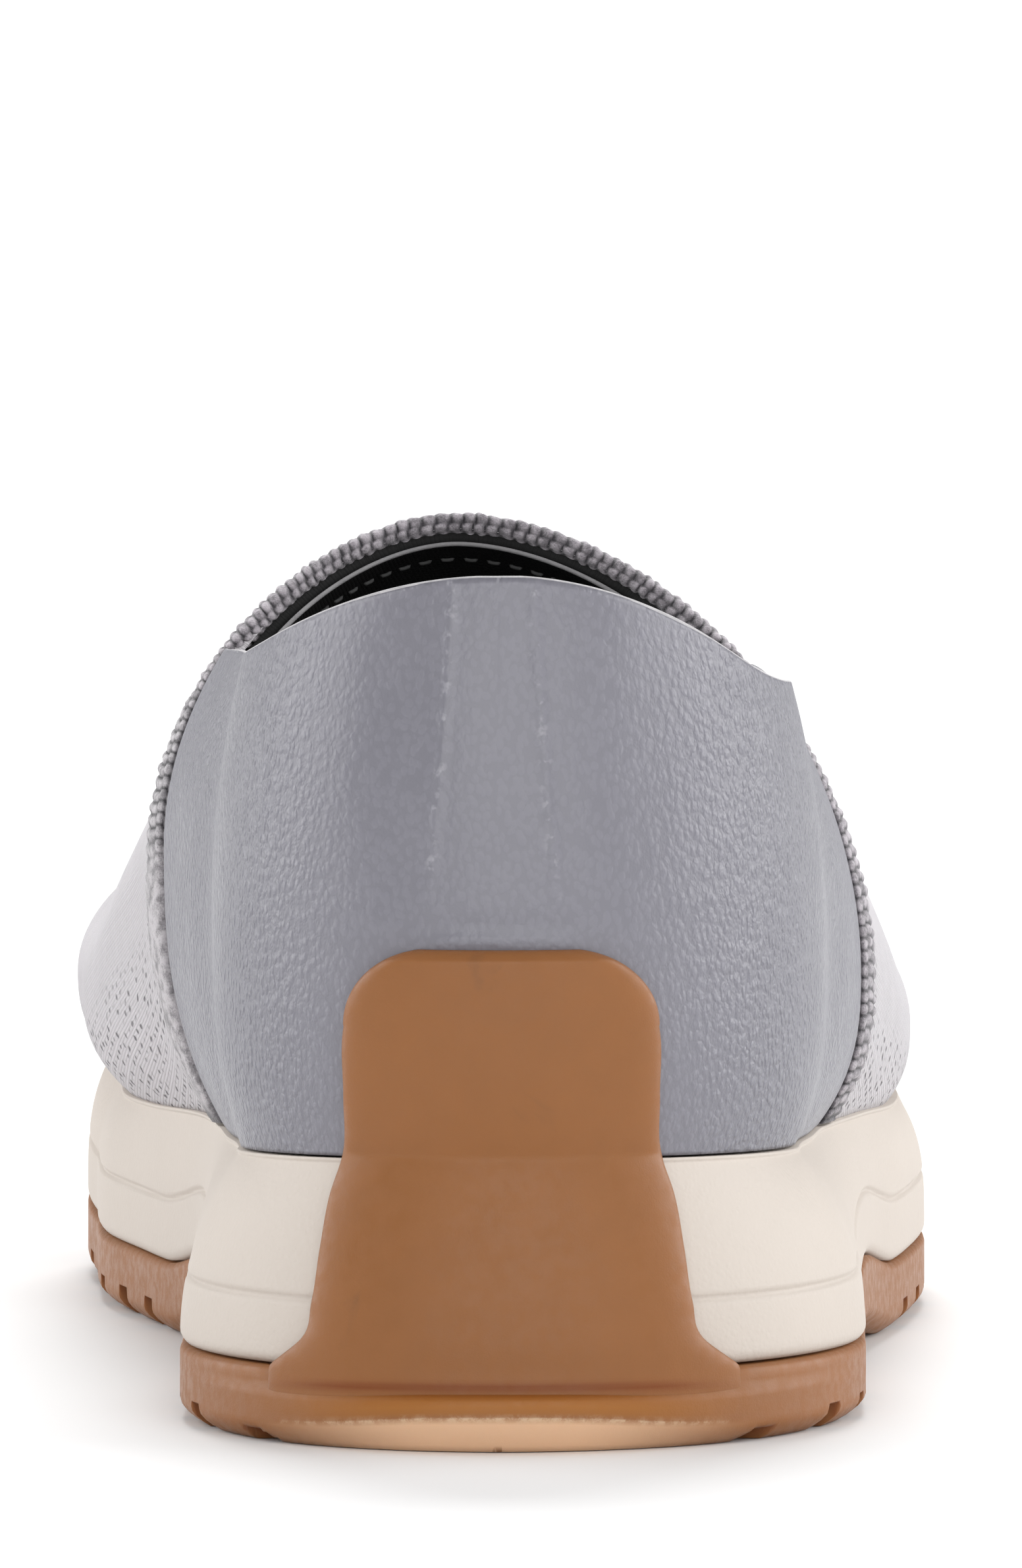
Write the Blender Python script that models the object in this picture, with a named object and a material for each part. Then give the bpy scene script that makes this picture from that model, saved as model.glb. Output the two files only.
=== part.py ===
"""Slip-on sneaker for the right foot, +Y towards the toe, +X towards the outer (lateral) side, in metres.

The upper is a hollow shell over a last. Its surface is a fan of ribs round the foot: each rib rises
from the feather line, swings out to the widest line and closes over to the crown above the foot.
"""

import math
from collections import namedtuple

import bpy
import numpy as np
from mathutils import Matrix

# Overall sizes of the shoe
LENGTH = 0.266
UPPER_BALL_WIDTH = 0.096
SOLE_BALL_WIDTH = 0.0988
THROAT_HEIGHT = 0.095
HEEL_STACK = 0.0315
TOE_SPRING = 0.012
ARCH_RISE = 0.0032

# Walls, layers and clearances
UPPER_WALL = 0.0022
QUARTER_WALL = 0.0014
BAND_WALL = 0.0024
BAND_WIDTH = 0.0095
INSOLE_THICKNESS = 0.0035
WRAP_THICKNESS = 0.0019
GAP = 0.0003

# Outsole
OUTSOLE_THICKNESS = 0.0082
EDGE_BEVEL = 0.0022
HEEL_LIP = 0.0060
LIP_SLOPE = 0.0003
LIP_ROUND = 0.0012
TOP_EDGE_SHARE = 0.25

# Parting groove round the midsole and the rounding of its lower edge
GROOVE_DEPTH = 0.0006
GROOVE_WIDTH = 0.0008
GROOVE_HEIGHT = 0.0072
FOOT_INSET = 0.0006
FOOT_ROUND = 0.0012

# Arch of the underside and curve of its toe, as shares of LENGTH
ARCH_MIDDLE = 0.40
ARCH_REACH = 0.11
SPRING_START = 0.70
SPRING_CURVE = 1.9

# Where the heel and toe fans of ribs turn, and how far each layer lies from the outsole's two ends
HEEL_POLE = 0.169 * LENGTH
TOE_POLE = 0.725 * LENGTH
TOE_CROWN = 0.835 * LENGTH
HEEL_INSET_FEATHER = 0.0085
HEEL_INSET_WIDE = 0.0060
HEEL_INSET_MIDSOLE = 0.0036
TOE_INSET_FEATHER = 0.0070
TOE_INSET_WIDE = 0.0038
TOE_INSET_MIDSOLE = 0.0008
HEEL_BACK_SIDEWAYS = -0.0025
TOE_TIP_SIDEWAYS = -0.0105
TOE_ROUNDNESS = 0.90
HEEL_CROWN_RISE = 0.024
THROAT_PEAK = 1.10
LOWEST_CUT, HIGHEST_CUT = 0.1, 0.8

# Rib where the throat's edge crosses the foot, and the middle of that edge on the crown line
THROAT_BASE = 0.320 * LENGTH
THROAT_CROWN = 0.451 * LENGTH

# How the surface is divided
HEEL_RIBS = 8
QUARTER_RIBS = 4
BAND_RIBS = 2
VAMP_RIBS = 8
TOE_RIBS = 9
LOW_STEPS = 4
WALL_STEPS = 4
CROWN_STEPS = 7
LOW_CURVE = 2.7

LATERAL, MEDIAL = 1, -1
MILLIMETRE = 0.001

# Half widths: along is a share of LENGTH, the sole's are shares of SOLE_BALL_WIDTH and the rest of
# UPPER_BALL_WIDTH
Width = namedtuple("Width", (
    "along", "base_medial", "base_lateral", "wide_medial", "wide_lateral", "sole_medial", "sole_lateral",
))
WIDTHS = (
    Width(0.169, 0.303, 0.297, 0.336, 0.333, 0.380, 0.385),
    Width(0.200, 0.307, 0.301, 0.3405, 0.336, 0.380, 0.386),
    Width(0.245, 0.320, 0.315, 0.369, 0.360, 0.378, 0.388),
    Width(0.320, 0.334, 0.333, 0.406, 0.384, 0.366, 0.388),
    Width(0.432, 0.362, 0.383, 0.448, 0.422, 0.380, 0.410),
    Width(0.545, 0.422, 0.427, 0.502, 0.456, 0.448, 0.458),
    Width(0.639, 0.467, 0.443, 0.531, 0.469, 0.503, 0.484),
    Width(0.725, 0.480, 0.440, 0.533, 0.466, 0.517, 0.480),
)

# Heights above the floor: along is a share of LENGTH, the rest are shares of THROAT_HEIGHT
Height = namedtuple("Height", "along feather wide_medial wide_lateral")
HEIGHTS = (
    Height(0.00, 0.342, 0.58, 0.58),
    Height(0.17, 0.319, 0.59, 0.53),
    Height(0.32, 0.306, 0.63, 0.48),
    Height(0.45, 0.293, 0.55, 0.43),
    Height(0.58, 0.275, 0.43, 0.36),
    Height(0.71, 0.271, 0.39, 0.36),
    Height(0.84, 0.301, 0.40, 0.40),
    Height(1.00, 0.392, 0.50, 0.50),
)

# The crown line above the foot, and its shift sideways as a share of UPPER_BALL_WIDTH
Crown = namedtuple("Crown", "along height shift")
CROWNS = (
    Crown(0.169, 1.20, -0.012),
    Crown(0.300, 1.06, -0.046),
    Crown(0.451, 0.994, -0.078),
    Crown(0.535, 0.888, -0.078),
    Crown(0.620, 0.770, -0.078),
    Crown(0.700, 0.682, -0.082),
    Crown(0.765, 0.624, -0.088),
    Crown(0.803, 0.606, -0.094),
    Crown(0.835, 0.602, -0.098),
)

# The topline of the quarter, by where its rib stands
Collar = namedtuple("Collar", "along top_medial top_lateral")
COLLARS = (
    Collar(0.023, 0.980, 0.980),
    Collar(0.050, 0.945, 0.935),
    Collar(0.095, 0.900, 0.870),
    Collar(0.170, 0.870, 0.840),
    Collar(0.250, 0.860, 0.830),
    Collar(0.320, 0.850, 0.830),
)

# The heel wrap up the back of the shoe: height as a share of HEEL_STACK, width of WRAP_WIDTH, and
# how far its face has swept out from the midsole to the edge of the outsole's lip
WRAP_WIDTH = 0.0335
Wrap = namedtuple("Wrap", "height width sweep")
WRAPS = (
    Wrap(0.165, 1.54, 0.96),
    Wrap(0.227, 1.53, 0.72),
    Wrap(0.273, 1.505, 0.50),
    Wrap(0.298, 1.445, 0.40),
    Wrap(0.371, 1.28, 0.20),
    Wrap(0.495, 1.21, 0.06),
    Wrap(0.676, 1.155, 0.0),
    Wrap(0.860, 1.09, 0.0),
    Wrap(1.000, 1.005, 0.0),
    Wrap(1.200, 1.00, 0.0),
    Wrap(1.430, 1.00, 0.0),
    Wrap(1.533, 0.96, 0.0),
    Wrap(1.600, 0.91, 0.0),
    Wrap(1.667, 0.79, 0.0),
    Wrap(1.715, 0.57, 0.0),
)
WRAP_ACROSS = 12

# Rows of grooves across the underside: where a row starts and ends as shares of LENGTH, the distance
# between its grooves, and a groove's width and depth
Tread = namedtuple("Tread", "start end pitch groove depth")
TREADS = (
    Tread(0.058, 0.080, 0.0115, 0.0030, 0.0014),
    Tread(0.105, 0.270, 0.0115, 0.0032, 0.0028),
    Tread(0.535, 0.930, 0.0140, 0.0044, 0.0034),
)

# Height up the midsole's side and how late its side pulls in, by share of LENGTH
FLARE_PLACES = (0.0, 0.35, 0.55, 1.0)
FLARE_CURVES = (2.0, 2.2, 3.6, 3.6)
UPPER_LEVELS = (0.82, 0.94)
CUTTER_DEPTH = 0.02


def clear_scene():
    """Start from an empty scene."""
    for old in list(bpy.data.objects):
        bpy.data.objects.remove(old, do_unlink=True)


def through(rows, column, along):
    """Smooth curve through one column of a table, by share of length."""
    xs = np.array([row.along for row in rows])
    ys = np.array([getattr(row, column) for row in rows])
    slopes = np.gradient(ys, xs)
    along = np.clip(np.asarray(along, float), xs[0], xs[-1])
    i = np.clip(np.searchsorted(xs, along, side="right") - 1, 0, len(xs) - 2)
    span = xs[i + 1] - xs[i]
    t = (along - xs[i]) / span
    start = (1 + 2 * t) * (1 - t) ** 2 * ys[i] + t * (1 - t) ** 2 * span * slopes[i]
    end = t**2 * (3 - 2 * t) * ys[i + 1] + t**2 * (t - 1) * span * slopes[i + 1]
    return start + end


def by_side(name, side):
    """Column of a table for the outer or the inner side of the foot."""
    return name + ("_lateral" if side == LATERAL else "_medial")


def rib_places():
    """Where each rib stands, heel's back to toe's tip, with how far it has turned off the shoe's axis."""
    heel = np.linspace(0, math.pi / 2, HEEL_RIBS + 1)[:-1]
    band_front = THROAT_BASE + BAND_WIDTH
    side = np.concatenate([
        np.linspace(HEEL_POLE, THROAT_BASE, QUARTER_RIBS + 1)[:-1],
        np.linspace(THROAT_BASE, band_front, BAND_RIBS + 1)[:-1],
        np.linspace(band_front, TOE_POLE, VAMP_RIBS + 1),
    ])
    toe = np.linspace(math.pi / 2, 0, TOE_RIBS + 1)[1:]
    along = np.concatenate([np.full(len(heel), HEEL_POLE), side, np.full(len(toe), TOE_POLE)])
    turn = np.concatenate([heel, np.full(len(side), math.pi / 2), toe])
    return along, turn


ALONG, TURN = rib_places()
RIBS = len(ALONG)
THROAT_RIB = HEEL_RIBS + QUARTER_RIBS
BAND_FRONT_RIB = THROAT_RIB + BAND_RIBS
TOE_RIB = BAND_FRONT_RIB + VAMP_RIBS
IN_HEEL = np.arange(RIBS) < HEEL_RIBS


def outline(side, width, heel_inset, toe_inset, grow=0.0):
    """Plan outline of one side: straight across the foot between the poles, elliptic fans beyond them."""
    half = width + grow
    heel = HEEL_POLE - heel_inset + grow
    toe = LENGTH - TOE_POLE - toe_inset + grow
    sideways = np.where(IN_HEEL, HEEL_BACK_SIDEWAYS, TOE_TIP_SIDEWAYS)
    round_out = np.where(IN_HEEL, 1.0, TOE_ROUNDNESS)
    across, ahead = np.sin(TURN) ** round_out, np.clip(np.cos(TURN), 0, 1) ** round_out
    x = sideways * ahead + side * half * across
    y = ALONG + np.where(IN_HEEL, -heel, toe) * ahead
    return x, y


def widths(name, side):
    """Half width at each rib, from the table."""
    size = SOLE_BALL_WIDTH if name == "sole" else UPPER_BALL_WIDTH
    return size * through(WIDTHS, by_side(name, side), ALONG / LENGTH)


def heights(column, y):
    """Height above the floor at a place along the shoe, from the table."""
    return THROAT_HEIGHT * through(HEIGHTS, column, y / LENGTH)


def underside(y):
    """Underside of the outsole: flat at heel and ball, raised at the arch, curving up at the toe."""
    share = np.asarray(y) / LENGTH
    arch = ARCH_RISE * np.clip(1 - ((share - ARCH_MIDDLE) / ARCH_REACH) ** 2, 0, None) ** 2
    toe = TOE_SPRING * np.clip((share - SPRING_START) / (1 - SPRING_START), 0, None) ** SPRING_CURVE
    return arch + toe


def feather(y):
    """Top of the midsole, where the upper stands."""
    return heights("feather", y) * HEEL_STACK / (HEIGHTS[0].feather * THROAT_HEIGHT)


def crown_line():
    """Point above the foot that each rib leans to. It runs ahead of the rib, so the throat is a U."""
    y = np.interp(ALONG, [HEEL_POLE, THROAT_BASE, TOE_POLE], [HEEL_POLE, THROAT_CROWN, TOE_CROWN])
    z = THROAT_HEIGHT * through(CROWNS, "height", y / LENGTH)
    z = z + np.where(IN_HEEL, HEEL_CROWN_RISE * np.cos(TURN), 0.0)
    x = UPPER_BALL_WIDTH * through(CROWNS, "shift", y / LENGTH)
    return x, y, z


def rib_points(side, grow=0.0):
    """Grid of points over one side of the last: a row for each rib, from the feather line to the crown.

    Below the widest line a rib pulls in to its base by a power curve. Above it the rib is a quarter of
    an ellipse to the crown, cut at the topline by one of its own rows.
    """
    bx, by = outline(side, widths("base", side), HEEL_INSET_FEATHER, TOE_INSET_FEATHER, grow)
    wx, wy = outline(side, widths("wide", side), HEEL_INSET_WIDE, TOE_INSET_WIDE, grow)
    _, plain_by = outline(side, widths("base", side), HEEL_INSET_FEATHER, TOE_INSET_FEATHER)
    _, plain_wy = outline(side, widths("wide", side), HEEL_INSET_WIDE, TOE_INSET_WIDE)
    bz = feather(plain_by) + GAP
    wz = heights(by_side("wide", side), plain_wy)
    cx, cy, plain_cz = crown_line()
    cz = plain_cz + grow
    low = np.linspace(0, 1, LOW_STEPS + 1)[None, :-1]
    pull = (1 - low) ** LOW_CURVE
    low_x = wx[:, None] + (bx - wx)[:, None] * pull
    low_y = wy[:, None] + (by - wy)[:, None] * pull
    low_z = bz[:, None] + (wz - bz)[:, None] * low
    top = THROAT_HEIGHT * through(COLLARS, by_side("top", side), plain_wy / LENGTH)
    cut = np.arcsin(np.clip((top - wz) / (plain_cz - wz), LOWEST_CUT, HIGHEST_CUT))
    angles = np.concatenate([
        cut[:, None] * np.linspace(0, 1, WALL_STEPS + 1)[None, :-1],
        cut[:, None] + (math.pi / 2 - cut[:, None]) * np.linspace(0, 1, CROWN_STEPS + 1)[None, :],
    ], axis=1)
    lean = np.where(IN_HEEL, 1.0, 1.0 + np.sin(TURN))[:, None]
    peak = np.interp(ALONG, [HEEL_POLE, THROAT_BASE], [1.0, THROAT_PEAK])[:, None]
    in_from_wide = np.clip(np.cos(angles), 0, 1)
    up_x = cx[:, None] + (wx - cx)[:, None] * in_from_wide**peak
    up_y = cy[:, None] + (wy - cy)[:, None] * in_from_wide**lean
    up_z = wz[:, None] + (cz - wz)[:, None] * np.sin(angles)
    return np.stack([
        np.concatenate([low_x, up_x], axis=1),
        np.concatenate([low_y, up_y], axis=1),
        np.concatenate([low_z, up_z], axis=1),
    ], axis=-1)


TOPLINE_ROW = LOW_STEPS + WALL_STEPS
CROWN_ROW = TOPLINE_ROW + CROWN_STEPS


class Grid:
    """Points of the last's surface with the faces between them, joined over the crown line."""

    def __init__(self, grow):
        self.sides = {side: rib_points(side, grow) for side in (LATERAL, MEDIAL)}
        self.index = {}
        self.points = []
        self.faces = []

    def vertex(self, side, rib, row):
        """Number of a point. Both sides share the heel and toe ribs and the crown, and the toe one pole."""
        if rib in (0, RIBS - 1) or row == CROWN_ROW:
            side = LATERAL
        if row == CROWN_ROW:
            rib = min(rib, TOE_RIB)
        key = (side, rib, row)
        if key not in self.index:
            self.index[key] = len(self.points)
            self.points.append(self.sides[side][rib, row])
        return self.index[key]

    def patch(self, side, ribs, rows):
        """Add triangles between two ribs and two rows on one side, facing out.

        Every layer splits its faces along the same diagonal, so that neighbouring layers stay parallel.
        """
        for rib in range(*ribs):
            for row in range(*rows):
                corners = [
                    self.vertex(side, rib, row),
                    self.vertex(side, rib + 1, row),
                    self.vertex(side, rib + 1, row + 1),
                    self.vertex(side, rib, row + 1),
                ]
                for triangle in (corners[:3], [corners[0], *corners[2:]]):
                    if len(set(triangle)) == 3:
                        self.faces.append(triangle if side == LATERAL else triangle[::-1])


def shell(outer_points, inner_points, faces):
    """Closed wall between two surfaces with the same faces: both skins and a rim along each open edge."""
    count = len(outer_points)
    points = np.concatenate([outer_points, inner_points])
    edges = {(a, b) for face in faces for a, b in zip(face, face[1:] + face[:1])}
    wall = [list(face) for face in faces]
    wall += [[count + i for i in reversed(face)] for face in faces]
    wall += [[b, a, count + a, count + b] for a, b in sorted(edges) if (b, a) not in edges]
    return points, wall


def loft(rings):
    """Closed solid through rings of points, its two ends closed by strips across the shoe."""
    count = len(rings[0])
    points = np.concatenate(rings)
    faces = []
    for level in range(len(rings) - 1):
        for i in range(count):
            a, b = level * count + i, level * count + (i + 1) % count
            faces.append([a, b, b + count, a + count])
    last = (len(rings) - 1) * count
    for i in range(count // 2):
        strip = list(dict.fromkeys([i, i + 1, (count - i - 1) % count, (count - i) % count]))
        faces.append(list(reversed(strip)))
        faces.append([last + k for k in strip])
    return points, faces


def ring(name, heel_inset, toe_inset, grow, height):
    """Closed outline round the shoe at one level, from the heel's back round the outer side."""
    halves = []
    for side in (LATERAL, MEDIAL):
        x, y = outline(side, widths(name, side), heel_inset, toe_inset, grow)
        halves.append(np.stack([x, y, height(y)], axis=1))
    return np.concatenate([halves[0], halves[1][-2:0:-1]])


def mixed(low, high, share):
    """Ring part of the way from one ring to another in plan."""
    made = low.copy()
    made[:, :2] += (high - low)[:, :2] * share[:, None]
    return made


def add_object(name, points, faces, colour, roughness):
    """Mesh object with its own material."""
    mesh = bpy.data.meshes.new(name)
    mesh.from_pydata([tuple(map(float, p)) for p in points], [], faces)
    mesh.validate()
    mesh.shade_smooth()
    mesh.set_sharp_from_angle(angle=math.radians(40))
    made = bpy.data.objects.new(name, mesh)
    bpy.context.collection.objects.link(made)
    material = bpy.data.materials.new(name)
    material.use_nodes = True
    shader = material.node_tree.nodes["Principled BSDF"]
    shader.inputs["Base Color"].default_value = (*colour, 1.0)
    shader.inputs["Roughness"].default_value = roughness
    shader.inputs["Metallic"].default_value = 0.0
    mesh.materials.append(material)
    return made


def form_piece(outer_grow, inner_grow, patches):
    """Wall between two offsets of the last, over the patches of ribs and rows that are named."""
    outer, inner = Grid(outer_grow), Grid(inner_grow)
    for ribs, rows in patches:
        for side in (LATERAL, MEDIAL):
            outer.patch(side, ribs, rows)
            inner.patch(side, ribs, rows)
    return shell(np.array(outer.points), np.array(inner.points), outer.faces)


def make_upper():
    """Knit vamp and lined back in one hollow shell, open at the throat and underneath."""
    patches = [((0, RIBS - 1), (0, TOPLINE_ROW)), ((THROAT_RIB, RIBS - 1), (TOPLINE_ROW, CROWN_ROW))]
    points, faces = form_piece(0.0, -UPPER_WALL, patches)
    return add_object("upper", points, faces, (0.62, 0.60, 0.62), 0.85)


def make_quarter():
    """Leather round the heel, laid over the upper up to the topline."""
    points, faces = form_piece(GAP + QUARTER_WALL, GAP, [((0, THROAT_RIB), (0, TOPLINE_ROW))])
    return add_object("quarter", points, faces, (0.29, 0.285, 0.33), 0.45)


def along_ribs(points, share):
    """Points moved along the shoe from each rib towards the next one."""
    moved = points.copy()
    moved[:-1] += (points[1:] - points[:-1]) * share
    return moved


def make_collar_band():
    """Ribbed band over the throat and down both sides, just in front of the quarter."""
    outer, inner = Grid(GAP + BAND_WALL), Grid(GAP)
    clear = GAP / (BAND_WIDTH / BAND_RIBS)
    for grid in (outer, inner):
        for side in (LATERAL, MEDIAL):
            ribs = grid.sides[side]
            start = ribs[THROAT_RIB] + (ribs[THROAT_RIB + 1] - ribs[THROAT_RIB]) * clear
            ribs[THROAT_RIB, :TOPLINE_ROW + 1] = start[:TOPLINE_ROW + 1]
            grid.patch(side, (THROAT_RIB, BAND_FRONT_RIB), (0, CROWN_ROW))
    points, faces = shell(np.array(outer.points), np.array(inner.points), outer.faces)
    return add_object("collar_band", points, faces, (0.17, 0.16, 0.17), 0.9)


def outsole_top(y):
    """Top of the outsole's edge, under the midsole."""
    return underside(y) + OUTSOLE_THICKNESS


def flare_share(rings_y, level):
    """How far the midsole's side has pulled in at a level: late and round in front, sooner at the heel."""
    return level ** np.interp(rings_y / LENGTH, FLARE_PLACES, FLARE_CURVES)


def midsole_rings():
    """Rings up the midsole's side, with the parting groove as a step in it."""
    bottom = ring("sole", HEEL_INSET_MIDSOLE, TOE_INSET_MIDSOLE, 0.0, lambda y: outsole_top(y) + GAP)
    top = ring("base", HEEL_INSET_FEATHER, TOE_INSET_FEATHER, GAP + QUARTER_WALL, feather)
    tall = top[:, 2] - bottom[:, 2]

    def at(height, inset=0.0):
        level = np.clip(height / tall, 0, 1)
        made = mixed(bottom, top, flare_share(bottom[:, 1], level))
        made[:, 2] = bottom[:, 2] + height
        centre = made[:, :2].mean(axis=0)
        away = made[:, :2] - centre
        made[:, :2] -= away / np.linalg.norm(away, axis=1)[:, None] * inset
        return made

    groove = GROOVE_HEIGHT
    return [
        at(0 * tall, FOOT_INSET),
        at(FOOT_ROUND + 0 * tall),
        at(groove - GROOVE_WIDTH + 0 * tall),
        at(groove - GROOVE_WIDTH / 2 + 0 * tall, GROOVE_DEPTH),
        at(groove + 0 * tall),
        at((tall + groove) / 2),
        *(at(level * tall) for level in UPPER_LEVELS),
        at(tall),
    ]


def make_midsole():
    """Foam sole between outsole and upper."""
    points, faces = loft(midsole_rings())
    return add_object("midsole", points, faces, (0.77, 0.70, 0.60), 0.7)


def make_insole():
    """Footbed inside the upper's wall."""
    inset = -UPPER_WALL - GAP
    outline_sizes = ("base", HEEL_INSET_FEATHER, TOE_INSET_FEATHER, inset)
    low = ring(*outline_sizes, lambda y: feather(y) + GAP)
    high = ring(*outline_sizes, lambda y: feather(y) + GAP + INSOLE_THICKNESS)
    points, faces = loft([low, high])
    return add_object("insole", points, faces, (0.03, 0.03, 0.03), 0.9)


def level_of_back(z):
    """Half width and reach back of the shoe's back at a height: midsole below, quarter above."""
    tread_top = OUTSOLE_THICKNESS + GAP
    pole_width = {side: UPPER_BALL_WIDTH * through(WIDTHS, by_side("base", side), HEEL_POLE / LENGTH)
                  for side in (LATERAL, MEDIAL)}
    base_half = sum(pole_width.values()) / 2
    wide_half = UPPER_BALL_WIDTH * (WIDTHS[0].wide_medial + WIDTHS[0].wide_lateral) / 2
    sole_half = SOLE_BALL_WIDTH * (WIDTHS[0].sole_medial + WIDTHS[0].sole_lateral) / 2
    leather = GAP + QUARTER_WALL
    if z < HEEL_STACK:
        level = np.clip((z - tread_top) / (HEEL_STACK - tread_top), 0, 1) ** FLARE_CURVES[0]
        half = sole_half + (base_half + leather - sole_half) * level
        pulled = (HEEL_INSET_MIDSOLE - HEEL_INSET_FEATHER + leather) * level
        back = HEEL_POLE - HEEL_INSET_MIDSOLE + pulled
        return half, back
    wide_height = HEIGHTS[0].wide_medial * THROAT_HEIGHT
    if z < wide_height:
        pull = (1 - (z - HEEL_STACK) / (wide_height - HEEL_STACK)) ** LOW_CURVE
        half = wide_half + (base_half - wide_half) * pull
        back = HEEL_POLE - HEEL_INSET_WIDE + (HEEL_INSET_WIDE - HEEL_INSET_FEATHER) * pull
        return half + leather, back + leather
    crown = THROAT_HEIGHT * CROWNS[0].height + HEEL_CROWN_RISE
    up = math.sqrt(1 - ((z - wide_height) / (crown - wide_height)) ** 2)
    return wide_half * up + leather, (HEEL_POLE - HEEL_INSET_WIDE) * up + leather


def wrap_surface(outside):
    """Grid over the back of the shoe, a row for each entry of the wrap's table.

    The outer face sweeps out to the lip at its foot, where the inner face is sunk into the outsole.
    """
    rows = []
    lip_half = SOLE_BALL_WIDTH * (WIDTHS[0].sole_medial + WIDTHS[0].sole_lateral) / 2 - GAP
    for entry in WRAPS:
        z = entry.height * HEEL_STACK
        half, back = level_of_back(z)
        sunk = z < OUTSOLE_THICKNESS
        out = GAP + WRAP_THICKNESS if outside else (-WRAP_THICKNESS if sunk else GAP)
        sweep = entry.sweep if outside else 0.0
        limit = math.asin(entry.width * WRAP_WIDTH / 2 / half)
        half = (half + out) * (1 - sweep) + lip_half * sweep
        back = (back + out) * (1 - sweep) + (HEEL_POLE - GAP) * sweep
        turn = np.linspace(-limit, limit, WRAP_ACROSS + 1)
        x = HEEL_BACK_SIDEWAYS * np.cos(turn) + half * np.sin(turn)
        rows.append(np.stack([x, HEEL_POLE - back * np.cos(turn), np.full_like(turn, z)], axis=1))
    return np.array(rows)


def make_wrap():
    """Tongue of the outsole's rubber that climbs the back of the midsole and onto the quarter."""
    outer, inner = wrap_surface(True), wrap_surface(False)
    rows, across = outer.shape[:2]
    faces = [
        [r * across + c, r * across + c + 1, (r + 1) * across + c + 1, (r + 1) * across + c]
        for r in range(rows - 1) for c in range(across - 1)
    ]
    points, faces = shell(outer.reshape(-1, 3), inner.reshape(-1, 3), faces)
    return add_object("wrap_form", points, faces, (0.35, 0.17, 0.07), 0.5)


def make_box(name, low, high):
    """Plain box, for cutting."""
    corners = [(x, y, z) for z in (low[2], high[2]) for y in (low[1], high[1]) for x in (low[0], high[0])]
    faces = [[0, 2, 3, 1], [4, 5, 7, 6], [0, 1, 5, 4], [2, 6, 7, 3], [0, 4, 6, 2], [1, 3, 7, 5]]
    box = add_object(name, corners, faces, (0.5, 0.5, 0.5), 0.5)
    box.hide_render = True
    box.display_type = "WIRE"
    return box


def apply_boolean(target, other, operation):
    """Exact Boolean, kept as a modifier on its target."""
    modifier = target.modifiers.new(operation.lower() + "_" + other.name, "BOOLEAN")
    modifier.operation = operation
    modifier.solver = "EXACT"
    modifier.object = other


def make_outsole():
    """Rubber outsole: bevelled plate with a heel lip, lugs cut by grooves, and the heel wrap."""
    def level(inset, height):
        return ring("sole", 0.0, 0.0, -inset, lambda y: underside(y) + height)

    top = ring("sole", HEEL_INSET_MIDSOLE, TOE_INSET_MIDSOLE, 0.0, outsole_top)
    lip = mixed(level(0.0, HEEL_LIP), top, np.full(len(top), TOP_EDGE_SHARE))
    lip[:, 2] = underside(lip[:, 1]) + OUTSOLE_THICKNESS - LIP_ROUND
    edge = [level(EDGE_BEVEL, 0.0), level(LIP_SLOPE, EDGE_BEVEL), level(0.0, HEEL_LIP)]
    points, faces = loft([*edge, lip, top])
    outsole = add_object("outsole", points, faces, (0.35, 0.17, 0.07), 0.5)
    wrap = make_wrap()
    wrap.hide_render = True
    wrap.display_type = "WIRE"
    apply_boolean(outsole, wrap, "UNION")
    reach = SOLE_BALL_WIDTH
    for row in TREADS:
        for place in np.arange(row.start * LENGTH, row.end * LENGTH, row.pitch):
            floor = float(underside(place))
            low = (-reach, place - row.groove / 2, floor - CUTTER_DEPTH)
            high = (reach, place + row.groove / 2, floor + row.depth)
            cutter = make_box(f"lug_cutter_{round(place / MILLIMETRE)}", low, high)
            apply_boolean(outsole, cutter, "DIFFERENCE")
    return outsole


def centre_on_floor(pieces):
    """Move every mesh, cutters too, so that the middle of the shoe's box stands over the origin."""
    corners = np.array([v.co for piece in pieces for v in piece.data.vertices])
    middle = (corners.min(axis=0) + corners.max(axis=0)) / 2
    step = Matrix.Translation((-middle[0], -middle[1], 0.0))
    for made in bpy.data.objects:
        made.data.transform(step)


def main():
    """Build the shoe."""
    clear_scene()
    makers = (make_outsole, make_midsole, make_insole, make_upper, make_quarter, make_collar_band)
    centre_on_floor([make() for make in makers])


main()
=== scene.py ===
"""Dresses the right-foot slip-on sneaker: leather, knit, ribbed band, foam, gum rubber and lining.

Frame: metres, +Z up, +Y towards the toe, +X to the outer (lateral) side. Every surface is worked out
from the last, a fan of ribs round the foot, as whole numpy arrays.
"""

import logging
import math
from dataclasses import dataclass, field
from enum import Enum
from typing import NamedTuple

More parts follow.
